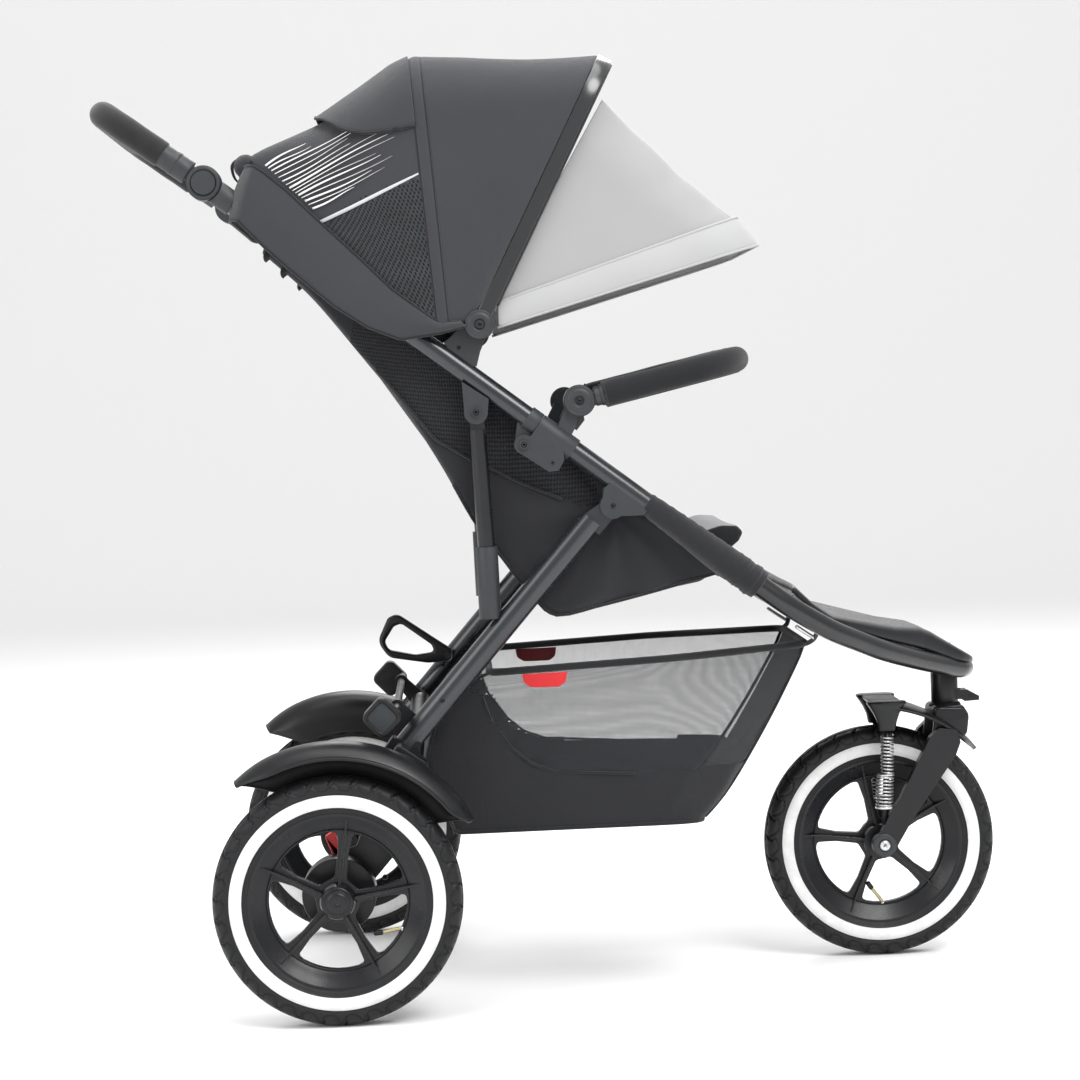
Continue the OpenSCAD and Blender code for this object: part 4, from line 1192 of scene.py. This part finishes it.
def basket():
    rear, front = spline([(x, 0, z) for x, z in REAR_LINE], 44), spline([(x, 0, z) for x, z in FRONT_LINE], 44)
    rows = []
    for k, (r, f) in enumerate(zip(rear, front)):
        v = k / 43
        rx, rz, fx, fz = r[0], r[2], f[0], f[2]

        t_side = np.linspace(0, 1, 12)
        side = [(rx + (fx - rx) * t, basket_half(rx + (fx - rx) * t) - 3 * v, rz + (fz - rz) * t) for t in t_side]
        loop = [(rx, 0, rz)] + [(rx, y, rz) for y in (60, 120)] + side + [(fx, y, fz) for y in (60, 0, -60)]
        loop += [(x, -y, z) for x, y, z in side[::-1]] + [(rx, y, rz) for y in (-120, -60)]
        corner = [0, 0, 0, 26] + [0] * 10 + [26, 0, 0, 0, 26] + [0] * 10 + [26, 0, 0]
        loop = even(np.vstack([fillet(loop, corner, 6), loop[:1]]), 261)[:-1]
        bow = math.sin(math.pi * min(1, v * 1.05))
        out = []
        for x, y, z in loop:
            w = 1.5 * math.sin(x * 0.047 + z * 0.06) * math.sin(z * 0.083 - x * 0.02) * (1 if abs(y) > 80 else 0.3)
            out.append(pt(x, y * (1 + 0.012 * bow) + (w if y > 0 else -w) * bow,
                          z - 2 * bow * math.sin((x - rx) / 120)))
        rows.append(out)
    g = grid(rows)

    def pick(u, v, p):
        x, z = side_view(p)
        front_x = np.interp(z, *zip(*[(b, a) for a, b in FRONT_LINE[::-1]]))
        if x > front_x - 9 and abs(p[1]) < 0.105:
            return 0
        return 1 if x > 165 and z > np.interp(x, *zip(*NET_LOW)) else 0

    walls = sheet("basket_walls", g, ["fabric_dark", "net"], pick=pick, close=True, thick=0.9, offset=1)
    floor_rows = []
    ring = g[-1]
    mid = ring.mean(0)
    for s in np.linspace(1, 0.03, 10):
        floor_rows.append(mid + (ring - mid) * s + np.array((0, 0, -0.004 * math.sin(math.pi * s * 0.5) * (1 - s))))
    bottom = sheet("basket_floor", np.array(floor_rows), ["fabric_dark"], close=True, thick=1.2)
    parts = [walls, bottom]
    parts.append(tube("rim", g[0], 4.6, ["binding"], 12, closed=True))
    parts.append(tube("foot", ring, 2.6, ["binding"], 10, closed=True))
    for s in (-1, 1):
        line = [pt(x, s * (basket_half(x) + 1.2), z) for x, z in even(NET_LOW[1:-1], 60)]
        parts.append(tube("net_seam", line, 1.6, ["binding"], 8))
        front_line = [pt(x - 2, s * (basket_half(x) - 8), z) for x, _, z in front[::3]]
        parts.append(tube("front_seam", front_line, 2.2, ["binding"], 8))
        rear_line = [pt(x + 2, s * 161, z) for x, _, z in rear[::3]]
        parts.append(tube("rear_seam", rear_line, 2.2, ["binding"], 8))
    whole = join("basket_body", parts)
    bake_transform(whole)
    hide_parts("basket")
    tags = []
    for s in (-1, 1):
        loop = fillet([(232, 401), (288, 402), (286, 390), (278, 384), (243, 384), (234, 390)], [1, 1, 6, 8, 8, 6], 5)
        y = 168.6
        tags.append(cut_plate("tag", [loop], s * y - 0.7, s * y + 0.7, ["red_cloth"], 0.5))
    ride(join("basket_tags", tags), "lower_frame")
    links = []
    for s in (-1, 1):
        line = [pt(576, s * 150, 446), pt(590, s * 140, 436), pt(602, s * 130, 428)]
        links.append(tube("link", line, 2.4, ["steel"], 14, soft_ends=1))
        line = [pt(592, s * 119, 421), pt(600, s * 128, 427), pt(604, s * 146, 440), pt(606, s * 160, 450)]
        links.append(tube("loop", spline(line, 20), 3.0, ["webbing"], 10))
    ride(join("basket_hangers", links), "lower_frame")


basket()


# ------------------------------------------------------------------ bars, grips and frame

def u_path(centre, tilt, start, reach, half, bend, n=120, lift=0.0):
    """The centreline of a U bar, with its arms along the tilt and its bar across."""
    a = math.radians(tilt)
    line = fillet([(start, -half), (reach, -half), (reach, half), (start, half)], bend, 14, closed=False)
    return [pt(centre[0] + r * math.cos(a) - lift * math.sin(a), y, centre[1] + r * math.sin(a) + lift * math.cos(a))
            for r, y in even(line, n)]


def grips():
    path = u_path(HUB, HANDLE_TILT, 60, 153, 200, 60)
    g = tube("handle_foam", path, [16.3 + 0.15 * math.sin(i * 0.7) for i in range(len(path))], ["foam"], 40,
             soft_ends=2.5)
    ride(g, "handle", "handle_grip", slot="foam")
    seam = tube("seam", u_path(HUB, HANDLE_TILT, 63, 153 - 16.1, 200 - 16.1, 45, lift=1), 0.7, ["foam"], 6)
    ride(join("handle_foam_seam", [seam]), "handle", slot="foam")
    arms = []
    for s in (-1, 1):
        arms.append(tube("arm", [along(HUB, HANDLE_TILT, q, s * 200) for q in np.linspace(40, 66, 12)],
                         [15.2] * 3 + [14.6] * 9, ["casting"], 40))
    ride(join("handle_arm_sleeves", arms), "handle", slot="casting")
    path = u_path(BUMPER, BUMPER_TILT, 30, 204, 205, 60)
    s = np.linspace(0, 1, len(path))
    radii = [15.7 + 0.35 * math.sin(46 * t) * math.sin(17 * t) + 0.5 * math.exp(-((min(t, 1 - t) - 0.02) / 0.012) ** 2)
             for t in s]
    cover = tube("cover", path, radii, ["cover"], 44, soft_ends=2.5)
    g = join("bumper_cover", [cover])
    ride(g, "bumper", "bumper_grip", slot="foam")
    seams = [tube("seam", u_path(BUMPER, BUMPER_TILT, 33, 204, 205, 60, lift=-15.6), 0.9, ["binding"], 6),
             tube("seam", u_path(BUMPER, BUMPER_TILT, 36, 188.6, 189.6, 46, lift=0), 0.9, ["binding"], 6)]
    for s in (-1, 1):
        a = math.radians(BUMPER_TILT)
        ring = [pt(BUMPER[0] + 32.5 * math.cos(a) - 15.7 * math.sin(a) * math.cos(k), s * 205 + 15.7 * math.sin(k),
                   BUMPER[1] + 32.5 * math.sin(a) + 15.7 * math.cos(a) * math.cos(k))
                for k in np.linspace(0, 2 * math.pi, 28, endpoint=False)]
        seams.append(tube("cuff", ring, 1.1, ["binding"], 6, closed=True))
    ride(join("bumper_cover_seams", seams), "bumper", slot="foam")
    ferrules = []
    for s in (-1, 1):
        for lo, hi, r in ((19.6, 27, 12.0), (26.6, 31, 13.2)):
            line = [along(BUMPER, BUMPER_TILT, q, s * 205) for q in np.linspace(lo, hi, 8)]
            ferrules.append(tube("ferrule", line, r, ["casting"], 36, soft_ends=0.8))
    ride(join("bumper_ferrules", ferrules), "bumper", slot="casting")


def hoop():
    half = [(502, 200, side_h(502)), (530, 199, side_h(530)), (560, 196, 477), (590, 185.5, 457.5), (620, 172, 440),
            (655, 149.5, 424), (690, 125, 409)]
    lead = []
    c, s = math.cos(math.radians(12)), math.sin(math.radians(12))
    for a in (50, 30, 10):
        r = 78 + 46.5 * math.cos(math.radians(a))
        lead.append((690 + r * c, 46.5 * math.sin(math.radians(a)), 398 - r * s))
    pts = half + [(half[-1][0] + (lead[0][0] - 690) / 2, (125 + lead[0][1]) / 2, (406 + lead[0][2]) / 2)] + lead
    pts = pts + [(x, -y, z) for x, y, z in pts[::-1]]
    o = tube("nose_tube", spline([pt(*p) for p in pts], 240), 13, ["hoop_paint"], 40)
    ride(o, "lower_frame", "front_hoop", slot="frame_paint")
    for s, name in SIDES:
        ring = [pt(508 + 1.5 * k, s * 200, side_h(508 + 1.5 * k)) for k in range(4)]
        ride(tube(f"tube_joint_{name}", ring, [13.2, 13.7, 13.7, 13.2], ["black_plastic"], 40), "lower_frame")


def footplate():
    top = [(567, 492), (571, 502), (595, 478), (622, 459), (711, 437), (746, 432), (762, 425), (800, 401), (816, 391),
           (823, 386)]
    low = [(567, 488), (571, 484), (615, 447), (690, 417), (735, 403), (790, 384), (823, 379)]
    wide = [(567, 178), (573, 178), (640, 154), (700, 112), (750, 76), (780, 58), (804, 48), (814, 38), (820, 24),
            (823, 12)]
    rows = []
    xs = np.concatenate([[567, 568.5, 571], np.linspace(574, 800, 113), [804, 808, 812, 815, 818, 821, 823]])
    for x in xs:
        zt, zb, w = (float(np.interp(x, *zip(*q))) for q in (top, low, wide))
        if x < 574:
            zt, zb = zt - (574 - x) * 0.4, zb + (574 - x) * 0.5
        mid, h = (zt + zb) / 2, (zt - zb) / 2
        row = []
        for k in range(96):
            a = 2 * math.pi * k / 96
            cy, cz = math.cos(a), math.sin(a)
            y = w * math.copysign(abs(cy) ** 0.42, cy)
            z = mid + h * math.copysign(abs(cz) ** 0.5, cz)
            if cz > 0:
                edge = min(1.0, (w - abs(y)) / 10)
                dish = 3.0 * min(1, abs(y) / w) ** 2 - 2.2
                z += dish * edge * 0.6
                if 618 < x < 742 and abs(y) < w - 22 and ((x - 618) % 9) < 3.4:
                    z -= 1.4
            row.append(pt(x, y, z))
        rows.append(row)
    o = sheet("footplate_shell", rows, ["footplate"], close=True)
    close_ends(o)
    ride(o, "lower_frame", "footplate", slot="footplate")


def fenders():
    parts = []
    for s in (-1, 1):
        rows = []
        for a in np.linspace(29.5, 128.5, 80):
            end = min(1.0, (a - 29.5) / 9, (128.5 - a) / 16)
            k = math.sin(end * math.pi / 2)
            section = [(156 + 34 * math.cos(c), s * 34 * math.sin(c))
                       for c in np.radians(np.linspace(60 * (0.5 + 0.5 * k), -86 * (0.5 + 0.5 * k), 29))]
            if k > 0.02:
                section += [(section[-1][0] - d * k, section[-1][1] - s * 0.05 * d) for d in (5, 10, 15, 20)]
            else:
                section += [section[-1]] * 4
            section = even(section, 36)
            row = []
            for r, y in section:
                r = r - 2.5 * (1 - k)
                row.append(pt(r * math.cos(math.radians(a)), s * 280 + y, 150 + r * math.sin(math.radians(a))))
            rows.append(row)
        parts.append(sheet("shell", rows, ["black_plastic"], thick=3.0, offset=0.0))
        g = grid(rows)
        lip = np.concatenate([g[:, 0], g[-1, 1:-1], g[::-1, -1], g[0, -2:0:-1]])
        parts.append(tube("lip", lip, 2.1, ["black_plastic"], 8, closed=True))
        b = cut_plate("bracket", [fillet([(70, 320), (78, 330), (112, 306), (110, 292), (92, 290)], 5, 4)],
                      min(s * 213, s * 250), max(s * 213, s * 250), ["black_plastic"], 1.5)
        parts.append(b)
    o = join("rear_fenders", parts)
    ride(o, "rear_frame", "fenders", slot="black_plastic")
    rows = []
    for a in np.linspace(41, 93, 60):
        tip = min(1.0, (a - 41) / 13, (93 - a) / 6 + 0.35)
        w = 57 * math.sin(tip * math.pi / 2) * (0.62 + 0.38 * min(1, (a - 41) / 26)) + 1
        row = []
        for c in np.linspace(-1, 1, 35):
            r = 175.5 + (a - 41) * 0.18 - 5.0 * abs(c) ** 4
            row.append(pt(695 + r * math.cos(math.radians(a)), w * c, 150 + r * math.sin(math.radians(a))))
        rows.append(row)
    f = sheet("front_fender_shell", rows, ["black_plastic"], thick=3.0, offset=-1)
    ride(f, "fork", "front_fender", slot="black_plastic")


def coils():
    for s, name in SIDES:
        parts = []
        for z0, z1, x0, x1, r in ((292, 240, 703, 702, 7.6), (241, 199, 699, 697, 10.2)):
            turns = (z0 - z1) / 4.5
            pts = []
            for k in range(int(turns * 16) + 1):
                t = k / (turns * 16)
                a = 2 * math.pi * k / 16
                pts.append(pt(x0 + (x1 - x0) * t + r * math.cos(a), s * 45 + r * math.sin(a), z0 + (z1 - z0) * t))
            parts.append(tube("coil", pts, 1.35, ["coil"], 8))
        rod = [pt(703, s * 45, 300), pt(702, s * 45, 270), pt(700, s * 45, 230), pt(697, s * 45, 176)]
        parts.append(tube("rod", rod, 4.0, ["black_plastic"], 16))
        parts.append(tube("seat", [pt(697, s * 45, 200), pt(697, s * 45, 197)], 11.8, ["steel"], 32, soft_ends=0.8))
        parts.append(tube("seat", [pt(700, s * 45, 242), pt(700, s * 45, 239.5)], 11.0, ["steel"], 32, soft_ends=0.8))
        o = join(f"suspension_coil_{name}", parts)
        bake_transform(o)
        if s < 0:
            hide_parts("fork_springs")


def screw(x, y, z, r=3.4, material="screw", side=None):
    """A domed screw head with its socket, facing outwards."""
    s = side or (1 if y > 0 else -1)
    k = r / 3.4
    profile = [(0.05, 0.7), (1.25, 0.7), (1.45, 2.1), (2.3, 1.9), (3.0, 1.2), (3.4, 0.2), (3.4, -0.8), (0.05, -0.8)]
    return lathe("screw", [(q * k, s * h * k) for q, h in profile], (x, y, z), [material], 24)


# (body, centre, material, segments, profile of (radius, height from the middle plane))
TURNED = [
    ("hood_front", (HOOD[0], 0, HOOD[1]), "casting", 64,
     [(5.4, 223.1), (5.4, 225.6), (13.6, 225.5), (14.2, 224.7), (15.4, 224.7), (16, 225.2), (17.4, 224.4),
      (18, 223.1)]),
    ("bumper", (BUMPER[0], 0, BUMPER[1]), "casting", 64,
     [(4.4, 214.1), (4.4, 216.2), (14, 216.1), (14.6, 215.3), (16, 215.3), (16.6, 215.9), (18.2, 215.2), (19, 214.1)]),
    ("handle", (HUB[0], 0, HUB[1]), "casting", 64,
     [(15.2, 214), (15.2, 215.2), (16, 215.6), (19.4, 215.2), (20.6, 214)]),
    ("fork_arm", AXLE, "steel", 48,
     [(0.05, 55.2), (2.2, 55.2), (2.4, 57.4), (4.6, 57.3), (6.2, 56.4), (7, 55), (7, 53), (0.05, 53)]),
    ("fork_arm", AXLE, "casting", 48,
     [(7.2, 53.4), (8.4, 54.8), (14.2, 54.4), (15.4, 53.2), (15.4, 52), (7.2, 52)])]


def small_parts():
    groups = {"upper_frame": [], "lower_frame": [], "rear_frame": [], "hood_front": [], "bumper": [], "fork_arm": [],
              "handle": []}
    for s in (-1, 1):
        groups["upper_frame"] += [screw(186, s * 214.5, 726, 4), screw(194, s * 227, 832, 3.2),
                                  screw(168, s * 206, 805, 2.4)]
        groups["lower_frame"] += [screw(243, s * 216, 685, 3.6), screw(312, s * 217, 736, 3.4),
                                  screw(349, s * 212, 607, 3), screw(277, s * 213, 662, 2.2)]
        groups["rear_frame"] += [screw(83, s * 212.8, 322, 3), screw(133, s * 212.8, 377, 3),
                                 screw(55, s * 212, 163, 3.4),
                                 screw(84, s * 212, 300, 2.6), screw(0, s * 208, 188, 2.4),
                                 screw(70, s * 183.3, 322, 2.6, side=-s), screw(133, s * 183.3, 382, 2.6, side=-s)]
        for body, (x, _, z), material, segs, profile in TURNED:
            groups[body].append(lathe("turned", [(r, s * h) for r, h in profile], (x, 0, z), [material], segs))
        arm = fillet([(284, 704), (298, 736), (306, 744), (313, 732), (308, 706), (300, 692)], [4, 6, 5, 6, 4, 4], 5)
        groups["lower_frame"].append(cut_plate("arm", [arm], *sorted((s * 196, s * 207)), ["casting"], 2.2))
    for body, parts in groups.items():
        ride(join(f"{body}_fixings", parts), body)


def crown():
    """The fork's crown, with a funnel over each spring and a bridge between the funnels."""
    block = fillet([(764, 305), (767, 325), (805, 326), (813, 313), (811, 298), (798, 304), (780, 306)],
                   [3, 7, 8, 8, 5, 20, 20], 5)
    parts = [cut_plate("block", [block], -31, 31, ["black_plastic"], 3.0)]
    for s in (-1, 1):
        cheek = fillet([(765, 296), (768, 325), (804, 323), (812, 312), (809, 289), (792, 274), (772, 270), (762, 280)],
                       [6, 8, 8, 10, 8, 8, 8, 6], 5)
        parts.append(cut_plate("cheek", [cheek], *sorted((s * 27, s * 37.6)), ["black_plastic"], 3.2))
        rows = []
        for z, x0, x1, y0, y1 in ((336, 681, 725, 32, 58), (335.4, 678, 728, 30, 60), (333, 677.5, 728, 29.6, 60.4),
                                  (328, 681, 724, 31, 59), (320, 686, 719.5, 34, 56), (310, 690.5, 716, 36.4, 53.6),
                                  (299, 692.5, 714, 37.4, 52.6), (297.5, 693.5, 713, 38.4, 51.6)):
            row = []
            for k in range(48):
                a = 2 * math.pi * k / 48
                u, v = (math.copysign(abs(f(a)) ** 0.62, f(a)) for f in (math.cos, math.sin))
                row.append(pt((x0 + x1) / 2 + (x1 - x0) / 2 * u, s * ((y0 + y1) / 2 + (y1 - y0) / 2 * v), z))
            rows.append(row)
        funnel = sheet("funnel", rows, ["black_plastic"], close=True)
        close_ends(funnel)
        parts.append(funnel)
    parts.append(cut_plate("bridge", [fillet([(682, 335.5), (724, 335.5), (724, 330), (685, 330)], 2, 3)], -50, 50,
                           ["black_plastic"], 1.5))
    collar = [pt(787, 0, z) for z in (322, 324, 326.5, 327)]
    parts.append(tube("collar", collar, [21, 21, 19.6, 18], ["black_plastic"], 48))
    parts.append(tube("stem", [pt(787, 0, 318), pt(787, 0, 380)], 8, ["steel"], 32))
    ride(join("fork_crown_casting", parts), "fork", "fork_crown", slot="black_plastic")


def pedals():
    parts = [tube("bar", [pt(76, y, 365) for y in np.linspace(-226, 226, 12)], 5, ["black_plastic"], 24)]
    for s in (-1, 1):
        c, outer, inner = (59.5, 362), 27.5, 20.5

        def square(r, round_to):
            x, z = c
            return fillet([(x, z + r), (x + r * 0.97, z), (x, z - r), (x - r * 0.97, z)], round_to, 6)

        y = sorted((s * 217, s * 241))
        parts.append(cut_plate("body", [square(outer, 9)], *y, ["black_plastic"], 2.4))
        y = sorted((s * 239, s * 244))
        parts.append(cut_plate("rim", [square(outer - 0.4, 9), square(inner, 6)], *y, ["black_plastic"], 1.5))
        y = sorted((s * 235, s * 242))
        parts.append(cut_plate("inset", [square(inner + 0.8, 6)], *y, ["pad_plastic"], 1.0))
    ride(join("brake_pedal_pads", parts), "brake_pedal", "brake_pedal", slot="black_plastic")


def loop():
    outer = fillet([(60, 450), (73, 456), (131, 415), (146, 405), (146, 388), (112, 387), (60, 396), (45, 418)],
                   [9, 12, 20, 8, 8, 30, 18, 18], 6)
    hole = fillet([(68, 438), (78, 442), (118, 412), (122, 402), (96, 399), (60, 407), (55, 418)],
                  [6, 8, 8, 4, 20, 10, 8], 6)
    o = cut_plate("loop", [outer, hole], 163, 175, ["black_plastic"], 4.2, steps=5)
    parts = [o, screw(140, 175, 396, 3.4), screw(140, 163, 396, 3.4, side=-1)]
    ride(join("fold_release_loop", parts), "fold_loop", "fold_loop", slot="black_plastic")


def end_roll():
    """The rolled head end of the seat and the strap ends under it."""
    path = [pt(-84 + 1.5 * math.sin(y * 0.03), y, 1034) for y in np.linspace(-190, 190, 40)]
    o = tube("head_roll", path, [14.0 + 0.5 * math.sin(i * 1.7) for i in range(40)], ["fabric"], 32, soft_ends=10)
    ride(o, "upper_frame", slot="fabric")
    parts = []
    for s in (-1, 1):
        for x, z in ((-62, 930), (-42, 910)):
            parts.append(strap("tab", [pt(x + 8, s * 180, z + 10), pt(x + 4, s * 181, z), pt(x + 2, s * 180, z - 6),
                                       pt(x + 3, s * 176, z - 8), pt(x + 4, s * 173, z + 2)],
                               12, 3.0, across=(0.8, 0, 0.6)))
        parts.append(strap("loop", [pt(-76, s * 150, 1036), pt(-92, s * 152, 1044), pt(-101, s * 154, 1036),
                                    pt(-97, s * 156, 1020), pt(-84, s * 158, 1012)], 22, 2.4))
    ride(join("strap_ends", parts), "upper_frame", slot="webbing")


grips()
hoop()
footplate()
fenders()
coils()
small_parts()
crown()
pedals()
loop()
end_roll()

for name in ("frame_tube_left", "frame_tube_right", "upper_tube_left", "upper_tube_right", "rear_legs",
             "handle_bar", "bumper_bar"):
    paint_node(name, "frame_paint")
for name in ("fold_sleeves", "leg_brackets", "bumper_brackets", "fold_ears", "strut_plates", "hood_clips",
             "handle_hubs", "hub_covers", "strut_sleeves"):
    paint_node(name, "casting", 1.2)
paint_node("struts", "hoop_paint")
for name in ("hub_button_left", "hub_button_right"):
    paint_node(name, "casting", 1.6)
for name in ("head_tube", "cross_tube", "axle_carriers", "brake_drums", "swivel_lever"):
    paint_node(name, "black_plastic", 1.5)
paint_node("fork_blades", "black_plastic", 3.0)
paint_node("front_axle", "black_plastic", 0.5)
paint_node("brake_levers", "red", 1.2)
paint_node("mid_bow", "bow", 0.8)
paint_node("front_bow", "bow", 1.2)
# nodes that the pieces above stand for
for name in ("front_hoop", "footplate", "seat_base", "seat_pad", "seat_front", "lap_straps", "basket", "seat_back",
             "hood_rear", "handle_grip", "back_pad", "shoulder_straps", "fenders", "rear_tyre_left", "rear_rim_left",
             "rear_tyre_right", "rear_rim_right", "front_fender", "fork_crown", "fork_springs", "front_tyre",
             "front_rim", "hood_front", "visor_bow", "visor_panel", "bumper_grip", "brake_pedal", "fold_loop"):
    paint_node(name, "dark_plastic")
